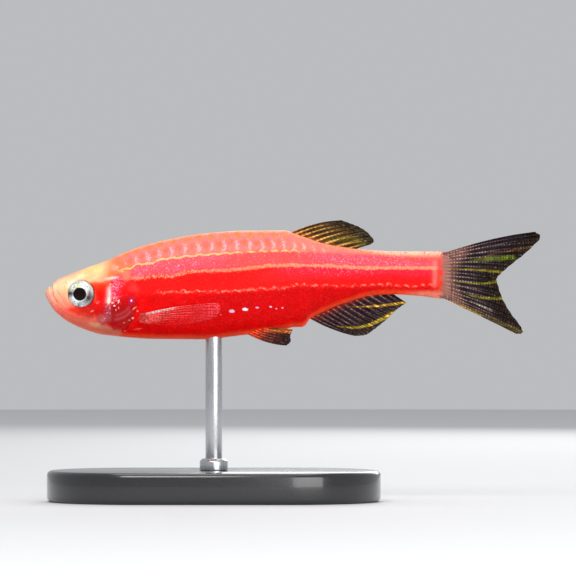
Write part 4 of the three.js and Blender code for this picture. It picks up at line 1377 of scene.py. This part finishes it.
@dataclass
class Eye:
    """A round eye set deep in its orbit, with a domed front."""

    body: Body
    side: Side
    pupil: float = 1.67
    pupil_shift: tuple[float, float] = (0.24, 0.0)
    proud: float = 0.95
    deep: float = 3.0
    forward_degrees: float = 8.0
    sunk_mm: float = 0.1
    dome_power: float = 0.62
    lens: float = 0.1
    steps: int = 96
    finish: EyeFinish = EyeFinish("wet_eye")
    white: Colour = (0.74, 0.78, 0.74)
    black: Colour = (0.006, 0.001, 0.002)
    rim: Colour = (0.26, 0.2, 0.2)
    # Marks on the iris: turn in degrees from ahead, share of the radius, half width in degrees, half depth as
    # a share of the radius, colour and strength.
    iris: tuple[tuple[float, float, float, float, Colour, float], ...] = (
        # The first three rows are painted reflections: dark surroundings mirrored in the silver, ahead of and
        # behind the pupil.
        (2, 0.8, 20, 0.6, (0.045, 0.028, 0.026), 1.0),
        (206, 0.64, 46, 0.52, (0.04, 0.022, 0.024), 1.0),
        (176, 0.66, 22, 0.16, (0.1, 0.045, 0.06), 0.85),
        (216, 0.96, 34, 0.07, (0.34, 0.34, 0.36), 0.6),
        (66, 0.62, 24, 0.1, (0.66, 0.58, 0.06), 0.9),
        (92, 0.66, 9, 0.07, (0.16, 0.2, 0.03), 0.85),
        (118, 0.7, 12, 0.08, (0.4, 0.4, 0.12), 0.6),
        (84, 0.84, 22, 0.07, (0.36, 0.5, 0.54), 0.7),
        (268, 0.7, 20, 0.18, (0.3, 0.33, 0.4), 0.85),
        (313, 0.7, 7, 0.07, (0.2, 0.24, 0.24), 0.8),
        (0, 0.51, 400, 0.03, (0.9, 0.88, 0.84), 0.55),
        # These two pure white flecks are painted glints on the silver.
        (130, 0.6, 34, 0.07, (1.0, 1.0, 0.96), 0.95),
        (318, 0.62, 24, 0.08, (1.0, 1.0, 1.0), 0.95),
        (281, 0.87, 5.5, 0.09, (0.02, 0.004, 0.003), 1.0),
    )

    def outline(self) -> list[tuple[float, float]]:
        """The ball's half section, from the back pole to the front one, as radius and height in percent."""
        turns = np.linspace(0, math.pi / 2, 10)
        back = [(EYE_RADIUS * math.sin(turn), -self.deep * math.cos(turn)) for turn in turns]
        front = []
        for share in np.linspace(1, 0, 42)[1:]:
            dome = self.proud * (1 - share**2) ** self.dome_power
            lens = self.lens * float(1 - smooth(0.75, 1.12, np.array(share * EYE_RADIUS / self.pupil)))
            front.append((EYE_RADIUS * share, dome + lens))
        return back + front

    def build(self) -> Piece:
        """Spins the half section into a ball, paints it, and turns it to look out and a little forward."""
        section = [(radius, 0.0, height) for radius, height in self.outline()]
        edges = [(i, i + 1) for i in range(len(section) - 1)]
        ball = mesh_piece(f"eye_{self.side.word}_ball", section, edges, [])
        pick(ball)
        bpy.ops.object.mode_set(mode="EDIT")
        bpy.ops.mesh.select_all(action="SELECT")
        bpy.ops.mesh.spin(steps=self.steps, angle=2 * math.pi, center=(0, 0, 0), axis=(0, 0, 1))
        bpy.ops.mesh.select_all(action="SELECT")
        bpy.ops.mesh.remove_doubles(threshold=1e-4)
        bpy.ops.object.mode_set(mode="OBJECT")
        rows = points_of(ball)
        forward, up = rows[:, 0].copy(), rows[:, 1].copy()
        self.paint(ball, forward, up, rows[:, 2])
        out = self.side.value * np.array([0, 1.0, 0])
        lean = math.radians(self.forward_degrees)
        axis = np.array([-math.sin(lean), 0, 0]) + out * math.cos(lean)
        ahead = np.array([-math.cos(lean), 0, 0]) - out * math.sin(lean)
        depth = self.body.half_at(*EYE_PLACE) * PERCENT - self.sunk_mm * MM
        centre = np.array(frame_point(*EYE_PLACE)) + out * depth
        turned = forward[:, None] * ahead + up[:, None] * np.array([0, 0, 1.0]) + rows[:, 2:3] * axis
        move_points(ball, centre + turned * PERCENT)
        face_outwards(ball)
        bpy.ops.object.shade_smooth()
        return ball

    def paint(self, ball: Piece, forward: Rows, up: Rows, height: Rows) -> None:
        """Paints the iris and pupil, with painted reflections and glints on the iris, given places ahead of
        and above the eye's middle, in percent.
        """
        turn = np.degrees(np.arctan2(up, forward))
        from_pupil = np.hypot(forward - self.pupil_shift[0], up - self.pupil_shift[1])
        away = np.hypot(forward, up) / EYE_RADIUS
        colour = self.white
        for angle, share, width, depth, tint, strength in self.iris:
            off = (turn - angle + 180) % 360 - 180
            colour = blend(colour, tint, bell(off, width) * bell(away - share, depth) * strength)
        colour = blend(colour, self.rim, 0.6 * smooth(0.93, 1.0, away))
        in_pupil = 1 - smooth(self.pupil - 0.05, self.pupil + 0.05, from_pupil)
        colour = blend(colour, self.black, in_pupil)
        store(ball, "paint", colour)
        store(ball, "silver", (1 - in_pupil) * (height > -0.2))

    def dress(self, ball: Piece) -> None:
        """Finishes the eye and lets it stand for the plain one."""
        install(ball, self.finish, "eye", f"eye_{self.side.word}")


@dataclass(frozen=True)
class Streak:
    """A coloured streak on a fin, along a path in percent."""

    path: Pairs
    half_width: float
    colour: Colour
    strength: float = 1.0
    fade_in: float = 0.3
    on_film: float = 0.35

    def lay(self, colour: Rows, flat: Rows, across: Rows, crest: Rows) -> Rows:
        """Lays the streak over the fin's colours, less of it on the film than on the rays."""
        share, away = path_distance(flat[:, 0], flat[:, 1], self.path)[1:]
        wide = self.half_width * (0.45 + 0.55 * smooth(0.0, 0.9, share))
        flicker = 0.75 + 0.25 * np.sin(share * 31 + across * 57)
        flicker = flicker * (self.on_film + (1 - self.on_film) * crest)
        amount = (1 - smooth(0.3, 1.0, away / wide)) * self.strength * flicker
        return blend(colour, self.colour, amount * smooth(-0.01, self.fade_in, share))


@dataclass(frozen=True)
class FinDyes:
    """The colours of one fin, from its root to its margin."""

    root: Colour
    film: Colour
    margin: Colour
    root_ray: Colour
    ray: Colour
    tip_ray: Colour
    root_reach: float = 0.25
    ray_strength: float = 0.9
    streaks: tuple[Streak, ...] = ()


@dataclass
class Fin:
    """One fin: rays that fork towards the margin, with thin film between them."""

    name: str
    rays: int
    root: Pairs
    tip: Pairs
    bow: tuple[float, float, float]
    dyes: FinDyes
    finish: FinFinish
    slot: str = "fin"
    notch: float = 0.008
    film_mm: float = 0.09
    ray_mm: float = 0.15
    root_mm: float = 0.5
    ripple_mm: float = 0.1
    columns: int = 18
    rows: int = 64
    ripple_turns: tuple[float, float] = (0.75, 0.35)
    fork: tuple[float, float] = (0.38, 0.72)
    fork_spread: tuple[float, float] = (0.2, 0.1)
    ray_width: tuple[float, float] = (0.17, 0.09)
    ray_sink: float = 0.6
    root_share: float = 0.28
    tip_sink: float = 0.45
    plain_rays: int = 1
    root_start: float = 0.0
    clear_root: float = 0.0
    clear_reach: float = 0.15
    dense_edge: float = 0.0
    swollen_edge: float = 0.0
    edge_width: float = 0.05
    faded: float = 0.0

    def place(self, x: Rows, z: Rows) -> Rows:
        """Places in the frame for flat places of the fin, in the fish's middle plane."""
        wave = np.sin((x - x.min()) * self.ripple_turns[0] + z * self.ripple_turns[1]) * self.ripple_mm * MM
        rows = frame_rows(np.column_stack([x, np.zeros(len(x)), z]))
        rows[:, 1] += wave * smooth(x.min(), x.min() + 8, x)
        return rows

    def ridges(self, across: Rows, along: Rows) -> Rows:
        """How much of a ray each place holds, 0 on film and 1 on a ray's crest."""
        whole = across * (self.rays - 1)
        nearest = np.rint(whole)
        off = whole - nearest
        forked = (nearest >= self.plain_rays) & (nearest <= self.rays - 1 - self.plain_rays)
        first = self.fork_spread[0] * smooth(self.fork[0], self.fork[0] + 0.4, along) * forked
        second = self.fork_spread[1] * smooth(self.fork[1], 1.0, along) * forked
        width = self.ray_width[0] - self.ray_width[1] * smooth(0.1, 0.8, along)
        crest = np.zeros(len(across))
        for one in (-1, 1):
            for two in (-1, 1):
                crest = np.maximum(crest, bell(off - one * first - two * second, width))
        return crest

    def flat(self, across: Rows, along: Rows) -> Rows:
        """Flat places on the fin, in percent.

        Args:
            across: The share of the way from its first ray to its last.
            along: The share of the way from its root to its margin.

        Returns:
            Rows of x and z.
        """
        start = spline(self.root, across)
        end = spline(self.tip, across)
        scallop = (0.5 - 0.5 * np.cos(2 * np.pi * across * (self.rays - 1))) * self.notch
        end = end * (1 - scallop[:, None]) + start * scallop[:, None]
        bow = np.column_stack([np.full(len(across), self.bow[0]), self.bow[1] * (1 - across) ** self.bow[2]])
        middle = (start + end) / 2 + bow
        t = along[:, None]
        return start * (1 - t) ** 2 + 2 * middle * t * (1 - t) + end * t**2

    def across_at(self, x: Rows, z: Rows) -> Rows:
        """How far across the fin some flat places near its root lie, 0 at the top ray and 1 at the last."""
        across = np.linspace(0, 1, 241)
        grid = np.array([self.flat(across, np.full(len(across), t)) for t in np.linspace(0, 0.4, 41)])
        found = np.zeros(len(x))
        near = np.round(x, 1)
        for value in np.unique(near):
            heights = np.array([np.interp(value, grid[:, i, 0], grid[:, i, 1]) for i in range(len(across))])
            here = near == value
            found[here] = np.interp(-z[here], -heights, across)
        return found

    def build(self) -> Piece:
        """Lays a grid out as the fin, marks its rays, and gives it thickness from its ray pattern."""
        across_count = (self.rays - 1) * self.columns
        bpy.ops.mesh.primitive_grid_add(x_subdivisions=across_count, y_subdivisions=self.rows, size=2)
        fin = named(self.name)
        grid = points_of(fin)
        across, along = (grid[:, 0] + 1) / 2, (grid[:, 1] + 1) / 2
        flat = self.flat(across, along)
        crest = self.ridges(across, along)
        length = np.linalg.norm(spline(self.tip, across) - spline(self.root, across), axis=1) * PERCENT / MM
        edge = bell(across, self.edge_width)
        dense = 1 - self.clear_root * (1 - smooth(0.0, self.clear_reach, along)) + self.dense_edge * edge
        dense *= 1 - self.faded * smooth(0.15, 0.8, across) * smooth(0.1, 0.6, along)
        store(fin, "web", np.column_stack([crest, along * length, dense]))
        store(fin, "paint", self.paint(flat, across, along, crest))
        move_points(fin, self.place(flat[:, 0], flat[:, 1]))
        self.thicken(fin, along, crest * (1 + self.swollen_edge * edge))
        return fin

    def thicken(self, fin: Piece, along: Rows, crest: Rows) -> None:
        """Gives the film its thickness, more on the rays and most at the root."""
        full = self.film_mm + self.ray_mm * crest * (1 - self.ray_sink * along)
        full += (self.root_mm - self.film_mm) * (1 - smooth(0.0, self.root_share, along))
        full *= 1 - self.tip_sink * smooth(0.9, 1.0, along)
        most = float(full.max())
        group = fin.vertex_groups.new(name="thickness")
        for i, value in enumerate(full / most):
            group.add([i], float(value), "REPLACE")
        apply_modifier(fin, "SOLIDIFY", thickness=most * MM, offset=0.0, vertex_group=group.name)
        fin.vertex_groups.clear()
        face_outwards(fin)
        bpy.ops.object.shade_smooth()

    def paint(self, flat: Rows, across: Rows, along: Rows, crest: Rows) -> Rows:
        """The fin's colour at each place: root, film and margin, the rays, then the streaks along them."""
        dyes = self.dyes
        near_root = 1 - smooth(self.root_start, dyes.root_reach, along)
        film = layered(dyes.film, (dyes.margin, smooth(0.55, 1.0, along)), (dyes.root, near_root))
        ray = layered(dyes.ray, (dyes.tip_ray, smooth(0.2, 0.85, along)), (dyes.root_ray, near_root))
        colour = blend(film, ray, crest * dyes.ray_strength)
        for streak in dyes.streaks:
            colour = streak.lay(colour, flat, across, crest)
        return colour

    def dress(self, fin: Piece) -> None:
        """Finishes the fin and lets it stand for the plain one, which has its name without the word web."""
        install(fin, self.finish, self.slot, self.name.replace("_web", ""))


@dataclass
class PairedFin(Fin):
    """A fin of a pair: it comes out of the skin, turns back along the body and leans away from it."""

    side: Side = Side.LEFT
    hinge: tuple[float, float] = (24.2, -8.8)
    hinge_mm: float = 2.0
    splay: float = 7.0
    lean: float = 12.0
    lift_mm: float = 0.75
    bend_mm: float = 0.5
    inside_mm: float = 0.3
    ripple_turns: tuple[float, float] = (1.1, 0.8)

    def place(self, x: Rows, z: Rows) -> Rows:
        """Places in the frame for flat places of the fin, out from the flank."""
        along = (x - self.hinge[0]) * PERCENT / MM
        up = (z - self.hinge[1]) * PERCENT / MM
        out = np.tan(np.radians(self.splay))
        tilt = np.tan(np.radians(self.lean))
        reach = np.maximum(along, -self.inside_mm)
        outwards = self.lift_mm * reach / (reach + self.bend_mm) + along * out - up * tilt
        rows = frame_rows(np.column_stack([x, np.zeros(len(x)), z]))
        wave = np.sin(along * self.ripple_turns[0] + up * self.ripple_turns[1]) * self.ripple_mm
        rows[:, 1] = self.side.value * (self.hinge_mm + outwards + wave) * MM
        return rows


@dataclass
class Barbels:
    """Two pairs of short feelers beside the mouth, lying back along the skin."""

    skin: Skin
    paths: tuple[Pairs, ...] = (
        ((3.0, -2.2), (3.7, -3.0), (4.5, -4.2), (5.1, -5.6)),
        ((3.5, -6.3), (5.2, -7.7), (7.6, -8.9), (10.4, -9.6)),
    )
    root_mm: float = 0.075
    tip_mm: float = 0.02
    rise_mm: float = 0.05
    blunt_power: int = 16
    sides: int = 10
    steps: int = 22
    finish: SkinFinish = SkinFinish("wet_skin")

    def build(self) -> Piece:
        """Draws each feeler out of a small cone, bends it onto the skin, and joins all four."""
        made = [self.feeler(path, side) for path in self.paths for side in Side]
        bpy.ops.object.select_all(action="DESELECT")
        for feeler in made:
            feeler.select_set(True)
        bpy.context.view_layer.objects.active = made[0]
        bpy.ops.object.join()
        made[0].name = "barbels"
        rows = (points_of(made[0]) - np.array(frame_point(0, 0))) / PERCENT
        self.skin.paint(made[0], rows[:, 0], rows[:, 2])
        face_outwards(made[0])
        bpy.ops.object.shade_smooth()
        return made[0]

    def feeler(self, path: Pairs, side: Side) -> Piece:
        """One feeler along a path in percent."""
        bpy.ops.mesh.primitive_uv_sphere_add(segments=self.sides, ring_count=self.steps, radius=1)
        feeler = bpy.context.object
        ball = points_of(feeler)
        share = np.arccos(np.clip(ball[:, 2], -1, 1)) / np.pi
        flat = spline(path, share)
        breadth = np.array([self.skin.body.half_at(a, b) for a, b in flat])
        lift = (2 * smooth(0.0, 0.25, share) - 1) * self.rise_mm * MM / PERCENT
        middle = np.column_stack([flat[:, 0], side.value * (breadth + lift), flat[:, 1]])
        thick = (self.root_mm + (self.tip_mm - self.root_mm) * share) * MM / PERCENT
        round_off = np.clip(np.sqrt(np.clip(1 - (2 * share - 1) ** self.blunt_power, 0, 1)), 0, 1)
        ahead = spline(path, np.clip(share + 0.02, 0, 1)) - spline(path, np.clip(share - 0.02, 0, 1))
        ahead /= np.linalg.norm(ahead, axis=1, keepdims=True)
        turn = np.arctan2(ball[:, 1], ball[:, 0])
        outer = (thick * round_off)[:, None] * np.column_stack(
            [-ahead[:, 1] * np.cos(turn), np.sin(turn), ahead[:, 0] * np.cos(turn)]
        )
        move_points(feeler, frame_rows(middle + outer))
        return feeler

    def dress(self, feelers: Piece) -> None:
        """Gives the feelers the skin's finish."""
        install(feelers, self.finish, "skin")


@dataclass
class Stand:
    """The display stand: a flat oblong base with rounded ends, and one rod with its collar."""

    bevel_mm: float = 0.5
    rod_bevel_mm: float = 0.12
    collar_bevel_mm: float = 0.08
    round_sides: int = 96
    rod_sides: int = 48
    collar_mm: tuple[float, float] = (1.35, 0.9)
    collar_step_mm: tuple[float, float] = (0.3, 0.25)
    sink_mm: float = 0.45
    base_finish: PlainFinish = PlainFinish(
        "black_acrylic", colour=(0.012, 0.012, 0.014), roughness=0.22, coat=0.6
    )
    rod_finish: PlainFinish = PlainFinish(
        "drawn_steel", colour=(0.56, 0.57, 0.59), metal=1.0, roughness=0.24, grain_mm=0.05, stretch=(1, 1, 30)
    )

    def cylinder(self, name: str, sides: int, radius: float, place: Vector, foot: float, top: float) -> Piece:
        """An upright cylinder.

        Args:
            name: Its name.
            sides: How many sides it is drawn with.
            radius: Its radius.
            place: A point on its middle line.
            foot: The height of its lower end.
            top: The height of its upper end.

        Returns:
            The piece, with its place in its mesh.
        """
        middle = (place.x, place.y, (foot + top) / 2)
        bpy.ops.mesh.primitive_cylinder_add(vertices=sides, radius=radius, depth=top - foot, location=middle)
        piece = named(name)
        settle(piece)
        return piece

    def rounded(self, piece: Piece, width_mm: float, segments: int, angle: float = 60.0) -> Piece:
        """Bevels the edges that are sharper than an angle in degrees."""
        limit = math.radians(angle)
        apply_modifier(piece, "BEVEL", width=width_mm * MM, segments=segments, angle_limit=limit)
        soften(piece, 35)
        return piece

    def base(self) -> Piece:
        """A disc whose halves are pulled apart, with its rims rounded."""
        low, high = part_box("stand_base")
        size, middle = high - low, (low + high) / 2
        radius = size.y / 2
        base = self.cylinder("base_plate", self.round_sides, radius, middle, low.z, high.z)
        bpy.ops.object.mode_set(mode="EDIT")
        for sign in (-1, 1):
            shape = bmesh.from_edit_mesh(base.data)
            for vertex in shape.verts:
                vertex.select_set((vertex.co.x - middle.x) * sign > 1e-6)
            shape.select_flush(True)
            bmesh.update_edit_mesh(base.data)
            bpy.ops.transform.translate(value=(sign * (size.x / 2 - radius), 0, 0))
            bpy.ops.mesh.select_all(action="DESELECT")
        bpy.ops.object.mode_set(mode="OBJECT")
        return self.rounded(base, self.bevel_mm, 5)

    def rod(self) -> Piece:
        """A straight round rod from the base into the belly."""
        low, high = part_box("stand_rod")
        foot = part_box("stand_base")[1].z
        top = high.z + self.sink_mm * MM
        rod = self.cylinder("rod", self.rod_sides, (high.x - low.x) / 2, (low + high) / 2, foot, top)
        return self.rounded(rod, self.rod_bevel_mm, 3)

    def collar(self) -> Piece:
        """The low collar that seats the rod in the base."""
        low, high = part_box("stand_rod")
        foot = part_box("stand_base")[1].z
        radius, height = (value * MM for value in self.collar_mm)
        inset, rise = (value * MM for value in self.collar_step_mm)
        collar = self.cylinder("rod_collar", self.rod_sides, radius, (low + high) / 2, foot, foot + height)
        bpy.ops.object.mode_set(mode="EDIT")
        shape = bmesh.from_edit_mesh(collar.data)
        for face in shape.faces:
            face.select_set(face.normal.z > 0.9)
        bmesh.update_edit_mesh(collar.data)
        bpy.ops.mesh.inset(thickness=inset)
        bpy.ops.transform.translate(value=(0, 0, rise))
        bpy.ops.object.mode_set(mode="OBJECT")
        return self.rounded(collar, self.collar_bevel_mm, 3, 25)

    def dress(self, base: Piece, rod: Piece, collar: Piece) -> None:
        """Finishes the stand and lets it stand for the plain one."""
        install(base, self.base_finish, "stand_base", "stand_base")
        install(rod, self.rod_finish, "stand_rod", "stand_rod")
        install(collar, self.rod_finish, "stand_rod")


@dataclass
class Studio:
    """The plain pale floor, the soft lights, and the camera level with the fish."""

    picture_px: float = 576.0
    snout_px: float = 45.3
    line_px: float = 280.5
    length_px: float = 396.5
    lens: float = 360.0
    sensor: float = 36.0
    clip: tuple[float, float] = (0.01, 10.0)
    floor_radius: float = 0.42
    floor_colour: Colour = (0.66, 0.665, 0.67)
    world_colour: Colour = (0.95, 0.97, 1.0)
    world_strength: float = 0.52
    lamps: tuple[tuple[str, Triple, float, float], ...] = (
        ("key", (-0.06, -0.22, 0.2), 0.12, 0.36),
        ("fill", (0.12, -0.26, 0.03), 0.2, 0.5),
        ("top", (0.0, 0.03, 0.26), 0.18, 0.26),
        ("rear", (0.06, 0.24, 0.12), 0.16, 0.2),
    )

    def floor(self) -> None:
        """A round pale floor, open to the sky on all sides."""
        bpy.ops.mesh.primitive_circle_add(vertices=256, radius=self.floor_radius, fill_type="NGON")
        floor = named("floor")
        look = {"roughness": 0.7, "grain_mm": 0.8, "contrast": 0.012, "depth_mm": 0.002}
        finish = PlainFinish("pale_floor", colour=self.floor_colour, **look)
        floor.data.materials.append(finish.material())

    def light(self, name: str, place: Triple, size: float, power: float) -> None:
        """One soft square light that looks at the fish."""
        bpy.ops.object.light_add(type="AREA", location=place)
        light = named(name)
        light.data.size = size
        light.data.energy = power
        light.visible_camera = False
        aim = frame_point(50, 0) - Vector(place)
        light.rotation_euler = aim.to_track_quat("-Z", "Y").to_euler()

    def lights(self) -> None:
        """A broad light from above the camera, a fill beside it, a top light, and a weak one from behind."""
        for lamp in self.lamps:
            self.light(*lamp)
        world = bpy.data.worlds.new("studio")
        bpy.context.scene.world = world
        world.use_nodes = True
        sky = world.node_tree.nodes["Background"]
        sky.inputs["Color"].default_value = (*self.world_colour, 1.0)
        sky.inputs["Strength"].default_value = self.world_strength

    def camera(self) -> None:
        """A long lens, level with the fish, that frames it as the photograph does."""
        data = bpy.data.cameras.new("camera")
        camera = bpy.data.objects.new("camera", data)
        bpy.context.scene.collection.objects.link(camera)
        data.lens = self.lens
        data.sensor_width = self.sensor
        data.clip_start, data.clip_end = self.clip
        pixel = STANDARD_LENGTH / self.length_px
        half = self.picture_px / 2
        across, up = (px * pixel / PERCENT for px in (half - self.snout_px, self.line_px - half))
        aim = frame_point(across, up)
        distance = self.picture_px * pixel * self.lens / self.sensor
        camera.location = aim + Vector((0, -distance, 0))
        camera.rotation_euler = (math.radians(90), 0, 0)
        bpy.context.scene.camera = camera
        bpy.context.scene.view_settings.view_transform = "Standard"


class Palette:
    """The fins' colours."""

    TAIL = FinDyes(
        root=(0.2, 0.09, 0.08), film=(0.015, 0.009, 0.016), margin=(0.008, 0.005, 0.004),
        root_ray=(0.5, 0.28, 0.22), ray=(0.34, 0.22, 0.19), tip_ray=(0.034, 0.019, 0.012),
        root_reach=0.4, ray_strength=0.92,
        streaks=(
            Streak(((103, 3.4), (112, 6.4), (123, 8.6)), 0.4, (0.3, 0.12, 0.03), 0.6, 0.6),
            Streak(((103, 4.2), (110, 5.3), (118.0, 5.8)), 0.85, (0.15, 0.2, 0.015), 0.95, 0.8, on_film=0.9),
            Streak(
                ((100.8, 2.9), (109, 2.7), (115.6, 2.0)),
                0.42, (0.36, 0.28, 0.015), 1.15, 0.25, on_film=0.65,
            ),
            Streak(
                ((100.8, 0.2), (109, -0.8), (114.4, -0.2)),
                0.44, (0.27, 0.23, 0.012), 1.15, 0.25, on_film=0.65,
            ),
            Streak(
                ((103, -2.2), (109, -4.2), (115.8, -4.5)),
                0.5, (0.26, 0.22, 0.015), 1.1, 0.6, on_film=0.65,
            ),
            Streak(((102, -4.6), (109.5, -8.2), (119.5, -13.0)), 1.0, (0.3, 0.21, 0.06), 0.7, 0.15),
            Streak(
                ((107, -5.0), (110, -6.4), (112.4, -7.6)),
                0.6, (0.85, 0.74, 0.52), 0.6, 0.1, on_film=0.1,
            ),
            Streak(((100, -4.5), (105, -6.4), (110, -8.9)), 0.3, (0.95, 0.5, 0.06), 1.1, 0.1),
        ),
    )
    DORSAL = FinDyes(
        root=(0.3, 0.07, 0.02), film=(0.05, 0.026, 0.007), margin=(0.014, 0.01, 0.006),
        root_ray=(1.0, 0.34, 0.08), ray=(0.85, 0.44, 0.11), tip_ray=(0.055, 0.038, 0.016),
        root_reach=0.3, ray_strength=0.85,
        streaks=(Streak(((70, 10.0), (75, 10.6), (80, 9.4)), 1.5, (0.22, 0.2, 0.025), 0.65, 0.1),),
    )
    ANAL = FinDyes(
        root=(0.36, 0.02, 0.01), film=(0.016, 0.008, 0.017), margin=(0.016, 0.009, 0.008),
        root_ray=(0.64, 0.08, 0.04), ray=(0.24, 0.12, 0.085), tip_ray=(0.075, 0.043, 0.03),
        root_reach=0.28, ray_strength=0.8,
        streaks=(
            Streak(((75, -6.6), (80, -6.6), (85, -6.3), (91, -5.5)), 0.46, (0.9, 0.48, 0.04), 1.2, 0.5),
            Streak(
                ((73, -11.4), (78, -11.9), (82.5, -10.9), (88.5, -7.8)),
                0.62, (0.66, 0.46, 0.03), 1.2, 0.3,
            ),
        ),
    )
    PECTORAL = FinDyes(
        root=(1.0, 0.13, 0.12), film=(0.95, 0.06, 0.06), margin=(0.9, 0.05, 0.08),
        root_ray=(1.0, 0.24, 0.21), ray=(1.0, 0.26, 0.26), tip_ray=(1.0, 0.16, 0.2),
        root_reach=0.65, ray_strength=0.8,
        streaks=(
            Streak(
                ((24.6, -8.7), (28, -7.9), (33, -6.6), (38, -5.4), (44.0, -5.4)),
                0.6, (1.0, 0.5, 0.48), 1.3, 0.02,
            ),
            Streak(((26, -8.5), (29, -7.6), (32.5, -6.8)), 0.6, (1.0, 0.92, 0.9), 1.6, 0.02),
        ),
    )
    PELVIC = FinDyes(
        root=(0.62, 0.03, 0.012), film=(0.055, 0.011, 0.008), margin=(0.013, 0.007, 0.006),
        root_ray=(1.0, 0.15, 0.04), ray=(0.48, 0.1, 0.045), tip_ray=(0.036, 0.019, 0.017),
        root_reach=0.5, ray_strength=0.8,
        streaks=(Streak(((55, -12.6), (59, -12.7), (62.5, -12.6)), 1.0, (0.9, 0.24, 0.03), 0.9, 0.1),),
    )


DOTTED = FinFinish("dotted_fin", film_alpha=0.985, sparkle_share=0.2)
SMOKY = FinFinish("smoky_fin", film_alpha=0.985, joint_mm=0.35, joint_dark=0.6, sparkle_share=0.3)
CLEAR_PINK = FinFinish("clear_pink_fin", film_alpha=0.03, ray_alpha=0.24, joint_dark=0.7)


def median_fins() -> list[Fin]:
    """The three fins in the fish's middle plane."""
    tail = Fin(
        "tail_fin_web", 19,
        ((98.6, 6.2), (98.6, 3.6), (98.6, -1), (98.6, -3.6)),
        (
            (123.6, 12.3), (124.9, 10.8), (121.6, 7.3), (118.0, 4.4), (115.2, 2.0), (113.9, 0.5),
            (114.2, -1.2), (115.4, -4.7), (117.4, -8.2), (119.8, -11.4), (120.4, -13.2), (118.9, -13.5),
        ),
        (0.3, 1.7, 2.0), Palette.TAIL, DOTTED, plain_rays=2, rows=90, root_mm=0.55, root_start=0.2,
    )
    dorsal = Fin(
        "dorsal_fin_web", 9,
        ((60.6, 11.4), (66.8, 9.4), (76.4, 7.2)),
        ((74.8, 15.2), (77.0, 14.4), (79.2, 13.5), (81.2, 12.2), (82.9, 10.1), (82.0, 9.1)),
        (-0.2, 1.7, 1.0), Palette.DORSAL, SMOKY, columns=16,
    )
    anal = Fin(
        "anal_fin_web", 15,
        ((65.0, -8.6), (70.6, -6.2), (77.5, -3.8), (86.2, -2.3)),
        ((78.2, -14.0), (80.9, -13.7), (82.9, -12.4), (86.0, -9.9), (88.6, -7.4), (91.1, -5.6)),
        (-0.1, -1.3, 1.0), Palette.ANAL, SMOKY,
    )
    return [tail, dorsal, anal]


def paired_fins(body: Body, side: Side) -> list[Fin]:
    """The pectoral and pelvic fin of one side."""
    pectoral = PairedFin(
        f"pectoral_fin_web_{side.word}", 11,
        ((24.4, -8.6), (24.2, -9.6), (24.5, -10.6)),
        ((43.9, -5.7), (44.3, -7.1), (43.3, -8.9), (40.2, -10.2), (35.2, -10.9), (30.2, -11.3)),
        (0.0, 1.1, 1.0), Palette.PECTORAL, CLEAR_PINK, slot="paired_fin", clear_root=-3.5, clear_reach=0.65,
        dense_edge=4.0, swollen_edge=1.2, faded=0.8, ripple_mm=0.04, film_mm=0.07, ray_mm=0.13, root_mm=0.4,
        side=side, hinge_mm=body.half_at(24.2, -8.8) * PERCENT / MM - 0.2,
    )
    pelvic = PairedFin(
        f"pelvic_fin_web_{side.word}", 7,
        ((50.6, -13.2), (52.4, -12.5), (54.8, -11.8)),
        ((60.9, -16.3), (61.9, -15.3), (61.8, -14.0), (62.4, -12.4)),
        (-0.1, -1.3, 1.0), Palette.PELVIC, SMOKY, slot="paired_fin", ripple_mm=0.04,
        film_mm=0.08, ray_mm=0.15, root_mm=0.4, side=side, hinge=(50.6, -13.2), hinge_mm=0.55,
        splay=9.0, lean=24.0, lift_mm=0.2, bend_mm=0.4, columns=16,
    )
    return [pectoral, pelvic]


def main() -> None:
    """Builds the fish, its stand and the studio, in that order."""
    body = Body()
    markings, forms = Markings(), HeadForms()
    middle_fins = median_fins()
    skin = Skin(body, markings, forms, middle_fins[0])
    skin.dress(skin.build())
    for side in Side:
        coat = Scales(skin, side)
        coat.dress(coat.build())
        eye = Eye(body, side)
        eye.dress(eye.build())
    feelers = Barbels(skin)
    feelers.dress(feelers.build())
    fins = middle_fins + [fin for side in Side for fin in paired_fins(body, side)]
    for fin in fins:
        fin.dress(fin.build())
    stand = Stand()
    stand.dress(stand.base(), stand.rod(), stand.collar())
    studio = Studio()
    studio.floor()
    studio.lights()
    studio.camera()


if __name__ == "__main__":
    main()
